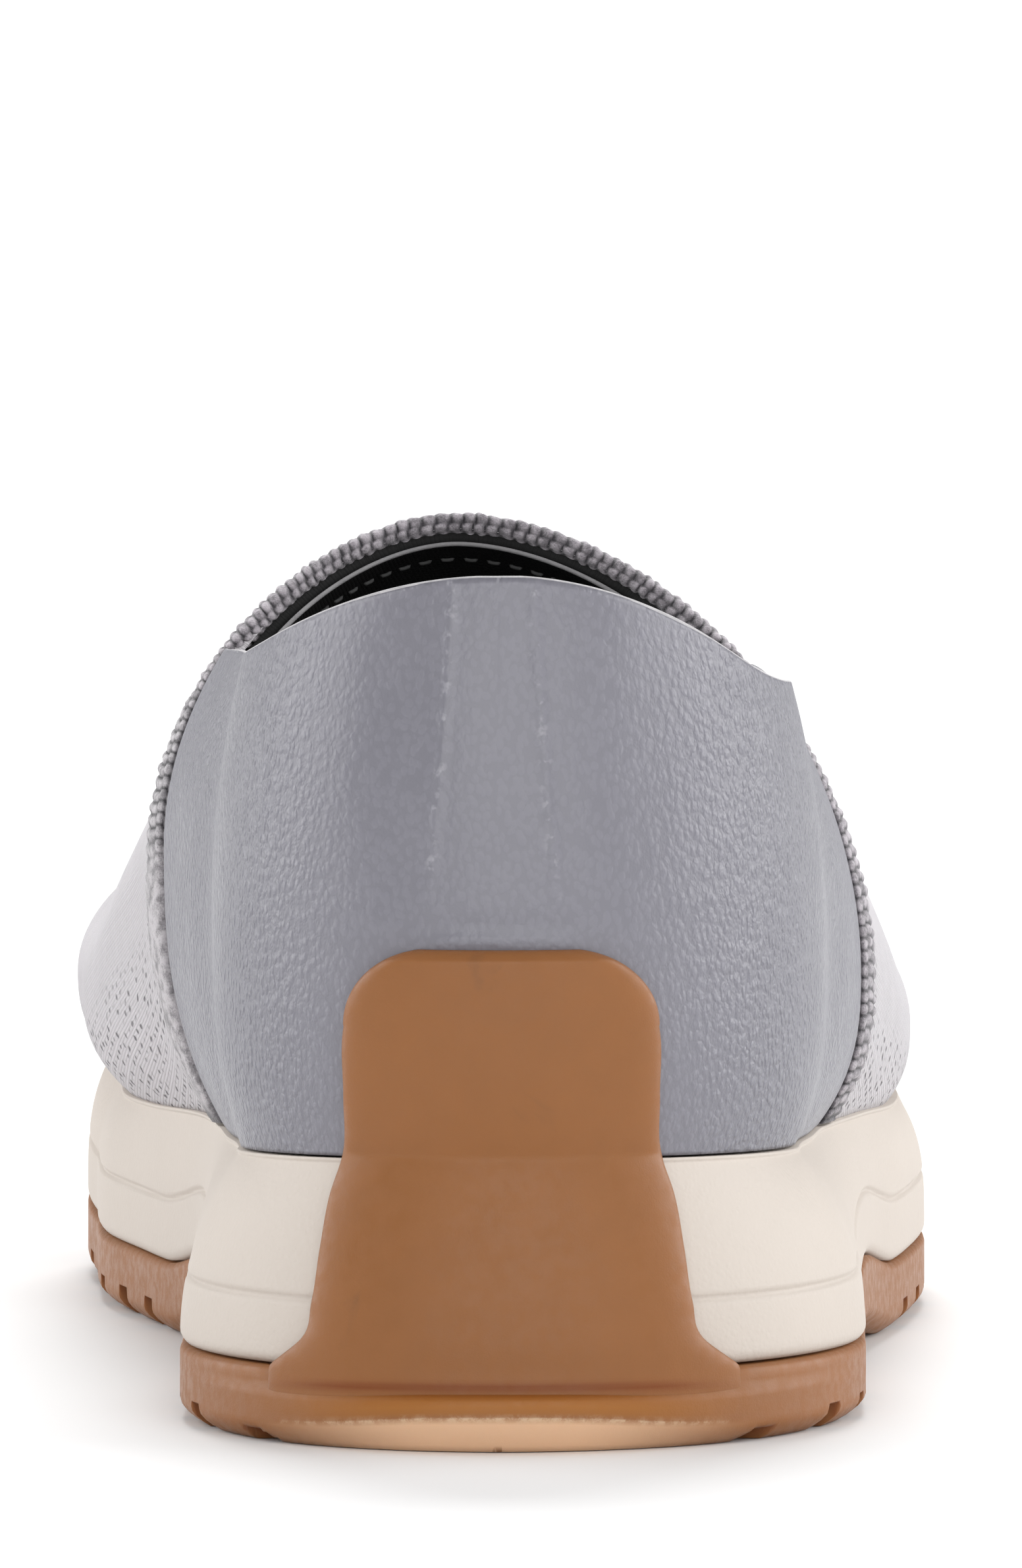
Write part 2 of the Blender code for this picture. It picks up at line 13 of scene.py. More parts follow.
import bmesh
import bpy
import numpy as np
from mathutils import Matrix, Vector


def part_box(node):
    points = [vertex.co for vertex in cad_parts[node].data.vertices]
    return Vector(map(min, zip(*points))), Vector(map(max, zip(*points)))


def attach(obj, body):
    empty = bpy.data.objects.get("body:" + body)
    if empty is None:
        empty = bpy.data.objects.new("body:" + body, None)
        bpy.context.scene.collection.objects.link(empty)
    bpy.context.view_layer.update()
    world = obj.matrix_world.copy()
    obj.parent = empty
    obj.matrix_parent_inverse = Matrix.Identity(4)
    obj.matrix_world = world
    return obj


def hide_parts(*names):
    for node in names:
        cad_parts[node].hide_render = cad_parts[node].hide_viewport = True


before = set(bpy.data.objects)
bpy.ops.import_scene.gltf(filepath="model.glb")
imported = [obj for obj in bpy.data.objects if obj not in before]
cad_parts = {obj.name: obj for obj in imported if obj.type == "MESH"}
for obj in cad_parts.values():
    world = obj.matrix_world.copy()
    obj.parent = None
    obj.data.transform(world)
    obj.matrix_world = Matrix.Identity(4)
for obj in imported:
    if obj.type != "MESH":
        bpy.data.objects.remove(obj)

LOG = logging.getLogger("sneaker")
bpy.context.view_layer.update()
BODY = "root"
Value = bpy.types.NodeSocket | float | tuple
SOFT_WELD = 1e-6
FINE_WELD = 1e-7


class Side(Enum):
    """Side of the foot, valued by the sign of its X."""

    LATERAL = 1
    MEDIAL = -1


class Width(NamedTuple):
    """Half widths at a place along the shoe, as shares of the ball widths."""

    along: float
    base_medial: float
    base_lateral: float
    wide_medial: float
    wide_lateral: float
    sole_medial: float
    sole_lateral: float


class Height(NamedTuple):
    """Heights at a place along the shoe, as shares of the throat's height."""

    along: float
    feather: float
    wide_medial: float
    wide_lateral: float


class Crease(NamedTuple):
    """Soft trough or ridge in the leather: middle, half length as a vector, bend, width and height."""

    x: float
    z: float
    dx: float
    dz: float
    bend: float
    width: float
    height: float


class Crown(NamedTuple):
    """Height and sideways shift of the line above the foot that the ribs lean to."""

    along: float
    height: float
    shift: float


class Collar(NamedTuple):
    """Height of the quarter's topline, as a share of the throat's height."""

    along: float
    top_medial: float
    top_lateral: float


class Tread(NamedTuple):
    """Row of grooves across the underside: start and end as shares of the length, and a groove's sizes."""

    start: float
    end: float
    pitch: float
    groove: float
    depth: float


class Wrap(NamedTuple):
    """Heel wrap at a share of the heel stack: its width, and how far it has swept out to the lip."""

    height: float
    width: float
    sweep: float


WIDTHS = (
    Width(0.169, 0.303, 0.297, 0.336, 0.333, 0.380, 0.385),
    Width(0.200, 0.307, 0.301, 0.3405, 0.336, 0.380, 0.386),
    Width(0.245, 0.320, 0.315, 0.369, 0.360, 0.378, 0.388),
    Width(0.320, 0.334, 0.333, 0.406, 0.384, 0.366, 0.388),
    Width(0.432, 0.362, 0.383, 0.448, 0.422, 0.380, 0.410),
    Width(0.545, 0.422, 0.427, 0.502, 0.456, 0.448, 0.458),
    Width(0.639, 0.467, 0.443, 0.531, 0.469, 0.503, 0.484),
    Width(0.725, 0.480, 0.440, 0.533, 0.466, 0.517, 0.480),
)

HEIGHTS = (
    Height(0.00, 0.342, 0.58, 0.58),
    Height(0.17, 0.319, 0.59, 0.53),
    Height(0.32, 0.306, 0.63, 0.48),
    Height(0.45, 0.293, 0.55, 0.43),
    Height(0.58, 0.275, 0.43, 0.36),
    Height(0.71, 0.271, 0.39, 0.36),
    Height(0.84, 0.301, 0.40, 0.40),
    Height(1.00, 0.392, 0.50, 0.50),
)

CROWNS = (
    Crown(0.169, 1.20, -0.012),
    Crown(0.300, 1.06, -0.046),
    Crown(0.451, 0.994, -0.078),
    Crown(0.535, 0.888, -0.078),
    Crown(0.620, 0.770, -0.078),
    Crown(0.700, 0.682, -0.082),
    Crown(0.765, 0.624, -0.088),
    Crown(0.803, 0.606, -0.094),
    Crown(0.835, 0.602, -0.098),
)

COLLARS = (
    Collar(0.023, 0.980, 0.980),
    Collar(0.050, 0.945, 0.935),
    Collar(0.095, 0.900, 0.870),
    Collar(0.170, 0.870, 0.840),
    Collar(0.250, 0.860, 0.830),
    Collar(0.320, 0.850, 0.830),
)

WRAPS = (
    Wrap(0.165, 1.54, 0.96),
    Wrap(0.227, 1.53, 0.72),
    Wrap(0.273, 1.505, 0.50),
    Wrap(0.298, 1.445, 0.40),
    Wrap(0.371, 1.28, 0.20),
    Wrap(0.495, 1.21, 0.06),
    Wrap(0.676, 1.155, 0.0),
    Wrap(0.860, 1.09, 0.0),
    Wrap(1.000, 1.005, 0.0),
    Wrap(1.200, 1.00, 0.0),
    Wrap(1.430, 1.00, 0.0),
    Wrap(1.533, 0.96, 0.0),
    Wrap(1.600, 0.91, 0.0),
    Wrap(1.667, 0.79, 0.0),
    Wrap(1.715, 0.57, 0.0),
)

TREADS = (
    Tread(0.058, 0.080, 0.0115, 0.0030, 0.0014),
    Tread(0.105, 0.270, 0.0115, 0.0032, 0.0028),
    Tread(0.535, 0.930, 0.0140, 0.0044, 0.0034),
)

CREASES = (
    Crease(-0.0135, 0.0760, 0.0008, 0.0190, 0.0000, 0.0040, -0.00034),
    Crease(-0.0010, 0.0740, 0.0002, 0.0190, 0.0000, 0.0034, -0.00022),
    Crease(0.0140, 0.0760, 0.0014, 0.0180, 0.0000, 0.0042, -0.00020),
    Crease(-0.0020, 0.0551, 0.0108, 0.0000, 0.0004, 0.0006, 0.00032),
    Crease(-0.0020, 0.0566, 0.0110, 0.0002, 0.0006, 0.0007, -0.00018),
    Crease(-0.0260, 0.0470, 0.0040, 0.0006, 0.0006, 0.0005, 0.00012),
    Crease(-0.0255, 0.0442, 0.0034, -0.0005, 0.0005, 0.0005, 0.00010),
    Crease(-0.0180, 0.0580, 0.0044, -0.0008, 0.0008, 0.0006, 0.00012),
    Crease(0.0200, 0.0590, 0.0050, 0.0008, 0.0008, 0.0006, 0.00013),
    Crease(0.0235, 0.0525, 0.0040, 0.0012, 0.0006, 0.0006, 0.00012),
)


def through(rows: tuple, column: str, at: np.ndarray) -> np.ndarray:
    """Smooth cubic through one column of a table, with slopes taken from the rows on either side.

    Args:
        rows: Table rows, whose first column is the place.
        column: Name of the column to read.
        at: Places to read it at; places past the table's ends take the end's value.

    Returns:
        The column's value at each place.
    """
    xs = np.array([row[0] for row in rows])
    ys = np.array([getattr(row, column) for row in rows])
    slopes = np.gradient(ys, xs)
    at = np.clip(np.asarray(at, float), xs[0], xs[-1])
    i = np.clip(np.searchsorted(xs, at, side="right") - 1, 0, len(xs) - 2)
    span = xs[i + 1] - xs[i]
    t = (at - xs[i]) / span
    start = (1 + 2 * t) * (1 - t) ** 2 * ys[i] + t * (1 - t) ** 2 * span * slopes[i]
    end = t**2 * (3 - 2 * t) * ys[i + 1] + t**2 * (t - 1) * span * slopes[i + 1]
    return start + end


def smoothstep(low: float, high: float, value: np.ndarray) -> np.ndarray:
    """0 below low, 1 above high, and 3t^2 - 2t^3 between them."""
    t = np.clip((np.asarray(value, float) - low) / (high - low), 0, 1)
    return t * t * (3 - 2 * t)


@dataclass(frozen=True)
class Last:
    """Form that the shoe is built on, with the sizes that its layers share."""

    length: float = 0.266
    heel_pole_share: float = 0.169
    throat_base_share: float = 0.320
    toe_pole_share: float = 0.725
    upper_ball: float = 0.096
    sole_ball: float = 0.0988
    throat_height: float = 0.095
    heel_stack: float = 0.0315
    toe_spring: float = 0.012
    spring_start: float = 0.70
    spring_reach: float = 0.30
    spring_power: float = 1.9
    arch_rise: float = 0.0032
    arch_middle: float = 0.40
    arch_half: float = 0.11
    outsole_thickness: float = 0.0082
    gap: float = 0.0003
    heel_inset_feather: float = 0.0085
    heel_inset_wide: float = 0.0060
    heel_inset_midsole: float = 0.0036
    toe_inset_feather: float = 0.0070
    toe_inset_wide: float = 0.0038
    toe_inset_midsole: float = 0.0008
    heel_back_x: float = -0.0025
    toe_tip_x: float = -0.0105
    toe_roundness: float = 0.90
    heel_crown_rise: float = 0.024
    throat_peak: float = 1.10
    throat_crown_share: float = 0.451
    toe_crown_share: float = 0.835
    low_curve: float = 2.7

    @property
    def heel_pole(self) -> float:
        """Place where the heel's fan of ribs turns."""
        return self.heel_pole_share * self.length

    @property
    def toe_pole(self) -> float:
        """Place where the toe's fan of ribs turns."""
        return self.toe_pole_share * self.length

    @property
    def throat_base(self) -> float:
        """Foot of the rib that the throat's edge follows."""
        return self.throat_base_share * self.length

    @property
    def middle(self) -> tuple[float, float]:
        """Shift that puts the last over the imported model, from the outsole's box."""
        low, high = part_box("outsole")
        u = np.linspace(0, 3, 400)
        sides = [self.outline(side, u, "sole", 0.0, 0.0)[0] for side in Side]
        mine = (max(sides[0].max(), sides[1].max()) + min(sides[0].min(), sides[1].min())) / 2
        return (low[0] + high[0]) / 2 - mine, low[1]

    def rib_at(self, along: float) -> float:
        """Rib number, 1 at the heel's pole and 2 at the toe's, of a place between the poles."""
        return 1 + (along - self.heel_pole) / (self.toe_pole - self.heel_pole)

    def stand(self, u: np.ndarray) -> tuple[np.ndarray, np.ndarray, np.ndarray]:
        """Where ribs stand.

        Args:
            u: Rib numbers: 0 is the heel's back, 1 the heel's pole, 2 the toe's pole and 3 the toe's tip.

        Returns:
            Place along the shoe, turn off its axis, and whether the rib is in the heel's fan.
        """
        u = np.asarray(u, float)
        along = self.heel_pole + (self.toe_pole - self.heel_pole) * np.clip(u - 1, 0, 1)
        turn = np.clip(np.minimum(u, 3 - u), 0, 1) * math.pi / 2
        return along, turn, u < 1

    def half_width(self, name: str, side: Side, along: np.ndarray) -> np.ndarray:
        """Half width of one of the three outlines, from the table."""
        size = self.sole_ball if name == "sole" else self.upper_ball
        return size * through(WIDTHS, f"{name}_{side.name.lower()}", along / self.length)

    def outline(self, side: Side, u: np.ndarray, name: str, heel_inset: float, toe_inset: float,
                grow: float = 0.0) -> tuple[np.ndarray, np.ndarray]:
        """Plan outline: straight across the foot between the poles, an ellipse beyond each.

        Args:
            side: Side of the foot.
            u: Rib numbers.
            name: Outline: base, wide or sole.
            heel_inset: Distance of this outline from the outsole's back.
            toe_inset: Distance of this outline from the outsole's tip.
            grow: Offset outwards.

        Returns:
            X and Y of each rib's foot.
        """
        along, turn, in_heel = self.stand(u)
        half = self.half_width(name, side, along) + grow
        reach = np.where(in_heel, -(self.heel_pole - heel_inset + grow),
                         self.length - self.toe_pole - toe_inset + grow)
        power = np.where(in_heel, 1.0, self.toe_roundness)
        ahead = np.clip(np.cos(turn), 0, 1) ** power
        across = np.sin(turn) ** power
        sideways = np.where(in_heel, self.heel_back_x, self.toe_tip_x)
        return sideways * ahead + side.value * half * across, along + reach * ahead

    def feather(self, y: np.ndarray) -> np.ndarray:
        """Height of the midsole's top edge."""
        return self.heel_stack * through(HEIGHTS, "feather", y / self.length) / HEIGHTS[0].feather

    def underside(self, y: np.ndarray) -> np.ndarray:
        """Outsole's underside: flat at heel and ball, raised at the arch, curving up at the toe."""
        share = np.asarray(y) / self.length
        arch = self.arch_rise * np.clip(1 - ((share - self.arch_middle) / self.arch_half) ** 2, 0, None) ** 2
        ahead = np.clip((share - self.spring_start) / self.spring_reach, 0, None)
        return arch + self.toe_spring * ahead**self.spring_power

    def surface(self, side: Side, u: np.ndarray, t: np.ndarray, grow: np.ndarray | float = 0.0) -> np.ndarray:
        """Points of the last.

        Below the widest line a rib pulls in to its foot by a power of the height left. Above it the rib
        is a quarter of an ellipse to the crown, with the topline at t = 2.

        Args:
            side: Side of the foot.
            u: Rib numbers.
            t: Row: 0 at the feather line, 1 at the widest line, 2 at the topline and 3 at the crown.
            grow: Offset outwards.

        Returns:
            Points, with a last axis of X, Y and Z.
        """
        u, t = np.broadcast_arrays(np.asarray(u, float), np.asarray(t, float))
        feet = (self.heel_inset_feather, self.toe_inset_feather)
        wides = (self.heel_inset_wide, self.toe_inset_wide)
        bx, by = self.outline(side, u, "base", *feet, grow)
        wx, wy = self.outline(side, u, "wide", *wides, grow)
        plain_by = self.outline(side, u, "base", *feet)[1]
        plain_wy = self.outline(side, u, "wide", *wides)[1]
        bz = self.feather(plain_by) + self.gap
        name = side.name.lower()
        wz = self.throat_height * through(HEIGHTS, f"wide_{name}", plain_wy / self.length)
        along, turn, in_heel = self.stand(u)
        crowns = [self.heel_pole, self.throat_crown_share * self.length, self.toe_crown_share * self.length]
        cy = np.interp(along, [self.heel_pole, self.throat_base, self.toe_pole], crowns)
        plain_cz = self.throat_height * through(CROWNS, "height", cy / self.length)
        plain_cz = plain_cz + np.where(in_heel, self.heel_crown_rise * np.cos(turn), 0.0)
        cz = plain_cz + grow
        cx = self.upper_ball * through(CROWNS, "shift", cy / self.length)
        top = self.throat_height * through(COLLARS, f"top_{name}", plain_wy / self.length)
        cut = np.arcsin(np.clip((top - wz) / (plain_cz - wz), 0.1, 0.8))
        pull = np.clip(1 - t, 0, 1) ** self.low_curve
        angle = np.where(t < 2, cut * np.clip(t - 1, 0, 1), cut + (math.pi / 2 - cut) * np.clip(t - 2, 0, 1))
        lean = np.where(in_heel, 1.0, 1.0 + np.sin(turn))
        cos_a = np.clip(np.cos(angle), 0, 1)
        peak = np.interp(along, [self.heel_pole, self.throat_base], [1.0, self.throat_peak])
        x = np.where(t < 1, wx + (bx - wx) * pull, cx + (wx - cx) * cos_a**peak)
        y = np.where(t < 1, wy + (by - wy) * pull, cy + (wy - cy) * cos_a**lean)
        z = np.where(t < 1, bz + (wz - bz) * np.clip(t, 0, 1), wz + (cz - wz) * np.sin(angle))
        return np.stack([x, y, z], axis=-1)

    def both(self, sign: np.ndarray, u: np.ndarray, t: np.ndarray, grow: np.ndarray | float) -> np.ndarray:
        """Points of the lateral side where sign is 0 or more, and of the medial side elsewhere."""
        lateral = self.surface(Side.LATERAL, u, t, grow)
        medial = self.surface(Side.MEDIAL, u, t, grow)
        return np.where((np.asarray(sign) >= 0)[..., None], lateral, medial)

    def across_heel(self, p: np.ndarray, t: np.ndarray, grow: np.ndarray | float = 0.0) -> np.ndarray:
        """Points round the heel, where p runs from the medial side (negative) to the lateral one."""
        return self.both(p, np.abs(p), t, grow)

    def over_foot(self, u: np.ndarray, w: np.ndarray, grow: np.ndarray | float = 0.0) -> np.ndarray:
        """Points over the foot, where w runs from the medial foot of a rib (-1) to the lateral one (1)."""
        return self.both(w, u, 3 * (1 - np.abs(w)), grow)


LAST = Last()
SHIFT_X, SHIFT_Y = LAST.middle
THROAT_RIB = LAST.rib_at(LAST.throat_base)


def normals_of(points: np.ndarray) -> np.ndarray:
    """Unit normals of a grid, the cross product of its two directions."""
    down = np.gradient(points, axis=0)
    across = np.gradient(points, axis=1)
    normal = np.cross(down, across)
    return normal / np.maximum(np.linalg.norm(normal, axis=-1, keepdims=True), 1e-12)


def arc_lengths(points: np.ndarray, axis: int) -> np.ndarray:
    """Length along the grid in one direction, from its first row or column."""
    steps = np.linalg.norm(np.diff(points, axis=axis), axis=-1)
    start = np.zeros_like(np.take(steps, [0], axis=axis))
    return np.cumsum(np.concatenate([start, steps], axis=axis), axis=axis)


def surface_uv(points: np.ndarray) -> np.ndarray:
    """Surface coordinates of a grid in metres: its lengths in both directions."""
    return np.stack([arc_lengths(points, 0), arc_lengths(points, 1)], axis=-1)


def grid_faces(rows: int, columns: int, wrap: bool) -> np.ndarray:
    """Quads of a grid, as rows of four vertex numbers.

    Args:
        rows: Rows of points.
        columns: Columns of points.
        wrap: Whether the last column joins the first.

    Returns:
        Faces, an array of four numbers a row.
    """
    r = np.arange(rows - 1)[:, None] * columns
    c = np.arange(columns if wrap else columns - 1)[None, :]
    c2 = (c + 1) % columns
    return np.stack([r + c, r + columns + c, r + columns + c2, r + c2], axis=-1).reshape(-1, 4)


def close_across(up: np.ndarray, down: np.ndarray, steps: int, dish: float = 0.0) -> np.ndarray:
    """Closed loops across the shoe: up one side, over the top, down the other side and back underneath.

    Args:
        up: Points up the lateral side, a row for each loop.
        down: Points down the medial side.
        steps: Points in each of the two strips across.
        dish: Depth that the top sinks to in its middle.

    Returns:
        Grid of points, whose last column joins its first.
    """
    s = np.linspace(0, 1, steps + 2)[None, 1:-1, None]
    over = up[:, -1:] * (1 - s) + down[:, :1] * s
    over[..., 2] -= dish * (4 * s[..., 0] * (1 - s[..., 0])) ** 0.7
    under = down[:, -1:] * (1 - s) + up[:, :1] * s
    return np.concatenate([up, over, down, under], axis=1)


class Piece:
    """A mesh of the shoe, made from grids of points and ridden on the shoe's body."""

    def __init__(self, name: str, slot: str, replaces: tuple[str, ...] = ()) -> None:
        """Name the piece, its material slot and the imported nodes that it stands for."""
        self.name = name
        self.slot = slot
        self.nodes = replaces
        self.points: list[np.ndarray] = []
        self.faces: list[np.ndarray] = []
        self.uvs: list[np.ndarray] = []
        self.marks: dict[str, list[np.ndarray]] = {}

    def add(self, points: np.ndarray, uv: np.ndarray | None = None, wrap: bool = False,
            **marks: np.ndarray) -> "Piece":
        """Add a grid of points with its faces.

        Args:
            points: Points in the last's frame, rows by columns by X, Y and Z.
            uv: Surface coordinates in metres, one pair a point.
            wrap: Whether the last column joins the first.
            **marks: Values from 0 to 1, one a point, that a material reads as attributes.

        Returns:
            This piece.
        """
        self.faces.append(grid_faces(*points.shape[:2], wrap) + sum(map(len, self.points)))
        self.points.append(points.reshape(-1, 3) + np.array([SHIFT_X, SHIFT_Y, 0.0]))
        self.uvs.append(np.zeros((len(self.points[-1]), 2)) if uv is None else uv.reshape(-1, 2))
        for key, value in marks.items():
            self.marks.setdefault(key, []).append(np.broadcast_to(value, points.shape[:-1]).reshape(-1))
        return self

    def build(self, material: bpy.types.Material, weld: float = 0.0, wall: float = 0.0) -> None:
        """Make the mesh object.

        Args:
            material: Material that dresses the piece.
            weld: Distance under which points are made one, or 0.
            wall: Thickness that an open skin grows inwards, or 0 for a piece that closes on itself,
                whose faces are turned outwards after the weld.
        """
        points = np.concatenate(self.points).astype(np.float32)
        faces = np.concatenate(self.faces).astype(np.int32)
        mesh = bpy.data.meshes.new(self.name)
        mesh.vertices.add(len(points))
        mesh.vertices.foreach_set("co", points.ravel())
        mesh.loops.add(faces.size)
        mesh.loops.foreach_set("vertex_index", faces.ravel())
        mesh.polygons.add(len(faces))
        mesh.polygons.foreach_set("loop_start", np.arange(0, faces.size, 4, dtype=np.int32))
        mesh.update(calc_edges=True)
        uv = mesh.uv_layers.new(name="surface")
        uv.data.foreach_set("uv", np.concatenate(self.uvs)[faces.ravel()].astype(np.float32).ravel())
        for key, values in self.marks.items():
            mark = mesh.attributes.new(key, "FLOAT", "POINT")
            mark.data.foreach_set("value", np.concatenate(values).astype(np.float32))
        if weld:
            shape = bmesh.new()
            shape.from_mesh(mesh)
            bmesh.ops.remove_doubles(shape, verts=shape.verts, dist=weld)
            bmesh.ops.dissolve_degenerate(shape, edges=shape.edges, dist=weld)
            if not wall:
                bmesh.ops.recalc_face_normals(shape, faces=shape.faces)
            shape.to_mesh(mesh)
            shape.free()
        mesh.validate()
        mesh.shade_smooth()
        made = bpy.data.objects.new(self.name, mesh)
        bpy.context.collection.objects.link(made)
        mesh.materials.append(material)
        if wall:
            solid = made.modifiers.new("wall", "SOLIDIFY")
            solid.thickness = wall
            solid.offset = -1.0
            solid.use_even_offset = False
        if self.nodes:
            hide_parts(*self.nodes)
        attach(made, BODY)
        LOG.info("%s: %d faces", self.name, len(mesh.polygons))


class Tree:
    """Short way to wire shader nodes. A value is a socket that gives it, or a constant."""

    def __init__(self, tree: bpy.types.NodeTree) -> None:
        """Wrap a node tree."""
        self.tree = tree

    def feed(self, socket: bpy.types.NodeSocket, value: Value) -> None:
        """Link a value to an input socket, or set it there."""
        if isinstance(value, bpy.types.NodeSocket):
            self.tree.links.new(value, socket)
        else:
            socket.default_value = value

    def add(self, kind: str, inputs: dict | None = None, **properties) -> bpy.types.Node:
        """Add a node.

        Args:
            kind: Node type without its ShaderNode prefix.
            inputs: Input name or number to its value.
            **properties: Properties of the node.

        Returns:
            The node.
        """
        node = self.tree.nodes.new(f"ShaderNode{kind}")
        for key, value in properties.items():
            setattr(node, key, value)
        for key, value in (inputs or {}).items():
            self.feed(node.inputs[key], value)
        return node

    def maths(self, operation: str, *values: Value) -> bpy.types.NodeSocket:
        """Result of a Math node."""
        return self.add("Math", dict(enumerate(values)), operation=operation).outputs[0]

    def times(self, first: Value, second: Value) -> bpy.types.NodeSocket:
        """Product of two values."""
        return self.maths("MULTIPLY", first, second)

    def plus(self, first: Value, second: Value) -> bpy.types.NodeSocket:
        """Sum of two values."""
        return self.maths("ADD", first, second)

    def humps(self, value: Value, rate: float) -> bpy.types.NodeSocket:
        """Size of the sine of a value times a rate."""
        return self.maths("ABSOLUTE", self.maths("SINE", self.times(value, rate)))

    def vector(self, operation: str, inputs: dict) -> bpy.types.NodeSocket:
        """Result of a Vector Math node."""
        return self.add("VectorMath", inputs, operation=operation).outputs[0]

    def parts(self, vector: Value) -> bpy.types.NodeOutputs:
        """The three components of a vector or colour."""
        return self.add("SeparateXYZ", {0: vector}).outputs

    def noise(self, vector: Value, scale: Value, detail: float,
              distortion: float = 0.0) -> bpy.types.NodeOutputs:
        """Noise of one value, and of three as a colour."""
        return self.add("TexNoise", {"Vector": vector, "Scale": scale, "Detail": detail,
                                     "Distortion": distortion}).outputs

    def pushed(self, vector: Value, scale: Value, detail: float, by: Value) -> bpy.types.NodeSocket:
        """Coordinates pushed about by a noise of their own, as far as by says."""
        centred = self.vector("SUBTRACT", {0: self.noise(vector, scale, detail)[1], 1: (0.5, 0.5, 0.5)})
        return self.vector("ADD", {0: vector, 1: self.vector("SCALE", {0: centred, "Scale": by})})

    def blend(self, share: Value, low: Value, high: Value) -> bpy.types.NodeSocket:
        """Colour mixed from low to high by share."""
        return self.add("Mix", {0: share, 6: low, 7: high}, data_type="RGBA", clamp_factor=True).outputs[2]

    def span(self, value: Value, low: float, high: float, out_low: float = 0.0,
             out_high: float = 1.0) -> bpy.types.NodeSocket:
        """Value carried from one range to another, smoothly and within it."""
        return self.add("MapRange", {"Value": value, "From Min": low, "From Max": high, "To Min": out_low,
                                     "To Max": out_high}, interpolation_type="SMOOTHSTEP").outputs[0]

    def group(self, made: bpy.types.NodeTree, **inputs: Value) -> bpy.types.NodeOutputs:
        """Outputs of a node group with its own values."""
        return self.add("Group", inputs, node_tree=made).outputs


def new_group(name: str, inputs: dict[str, str], outputs: dict[str, str]) -> tuple[Tree, dict, dict]:
    """Start a node group.

    Args:
        name: Name of the group.
        inputs: Input names with their socket kinds.
        outputs: Output names with their socket kinds.

    Returns:
        The group's wiring, its input sockets by name, and the output node's sockets by name.
    """
    tree = bpy.data.node_groups.new(name, "ShaderNodeTree")
    for key, kind in inputs.items():
        tree.interface.new_socket(key, in_out="INPUT", socket_type=f"NodeSocket{kind}")
    for key, kind in outputs.items():
        tree.interface.new_socket(key, in_out="OUTPUT", socket_type=f"NodeSocket{kind}")
    source = tree.nodes.new("NodeGroupInput")
    result = tree.nodes.new("NodeGroupOutput")
    return Tree(tree), source.outputs, result.inputs


class Effects:
    """Shader groups that several finishes share, each built once."""

    def __init__(self) -> None:
        """Build every group."""
        self.mottle = self._mottle()
        self.pebble = self._pebble()
        self.loops = self._loops()
        self.specks = self._specks()

    def _mottle(self) -> bpy.types.NodeTree:
        """Broad and fine cloudy change of a colour, by two noises at different sizes."""
        wires, given, made = new_group("mottle", {"Vector": "Vector", "Color": "Color", "Amount": "Float",
                                                  "Scale": "Float"}, {"Color": "Color", "Value": "Float"})
        broad = wires.noise(given["Vector"], given["Scale"], 2.0)[0]
        fine = wires.noise(given["Vector"], wires.times(given["Scale"], 7.0), 3.0)[0]
        both = wires.plus(wires.times(broad, 0.65), wires.times(fine, 0.35))
        lift = wires.maths("MULTIPLY_ADD", wires.maths("SUBTRACT", both, 0.5), given["Amount"], 1.0)
        wires.feed(made["Color"], wires.vector("SCALE", {0: given["Color"], "Scale": lift}))
        wires.feed(made["Value"], both)
        return wires.tree

    def _pebble(self) -> bpy.types.NodeTree:
        """Pebbled grain: warped cells, large and small, with creases between the large ones."""
        wires, given, made = new_group("pebble", {"Vector": "Vector", "Scale": "Float", "Warp": "Float"},
                                       {"Height": "Float", "Crease": "Float"})
        moved = wires.pushed(given["Vector"], wires.times(given["Scale"], 0.45), 3.0, given["Warp"])
        large, small = (
            wires.add("TexVoronoi", {"Vector": moved, "Scale": scale, "Smoothness": smoothness},
                      feature="SMOOTH_F1").outputs[0]
            for scale, smoothness in ((given["Scale"], 0.35), (wires.times(given["Scale"], 2.6), 0.4)))
        domes = [wires.span(cells, 0.75, 0.05) for cells in (large, small)]
        wires.feed(made["Height"], wires.plus(wires.times(domes[0], 0.8), wires.times(domes[1], 0.2)))
        wires.feed(made["Crease"], wires.span(large, 0.62, 0.42))
        return wires.tree

    def _loops(self) -> bpy.types.NodeTree:
        """Knit loops: V stitches in columns, the two legs of each leaning to the column's middle."""
        wires, given, made = new_group("loops", {"Vector": "Vector", "Wale": "Float", "Course": "Float"},
                                       {"Height": "Float"})
        split = wires.parts(given["Vector"])
        column = wires.maths("DIVIDE", split[0], given["Wale"])
        course = wires.maths("DIVIDE", split[1], given["Course"])
        slanted = wires.maths("MULTIPLY_ADD", wires.maths("PINGPONG", column, 0.5), 1.1, course)
        across = wires.maths("POWER", wires.humps(slanted, math.pi), 0.6)
        legs = wires.maths("POWER", wires.humps(column, 2 * math.pi), 0.4)
        wires.feed(made["Height"], wires.times(across, legs))
        return wires.tree

    def _specks(self) -> bpy.types.NodeTree:
        """Small scattered specks, the middles of the cells whose own colour picks them."""
        wires, given, made = new_group("specks", {"Vector": "Vector", "Scale": "Float", "Share": "Float"},
                                       {"Mask": "Float"})
        cells = wires.add("TexVoronoi", {"Vector": given["Vector"], "Scale": given["Scale"]}).outputs
        kept = wires.maths("LESS_THAN", wires.parts(cells["Color"])[0], given["Share"])
        wires.feed(made["Mask"], wires.times(wires.span(cells["Distance"], 0.10, 0.32, 1.0, 0.0), kept))
        return wires.tree


class Cloud(NamedTuple):
    """Cloudy change of a colour: how strong it is, and how fine."""

    amount: float
    scale: float


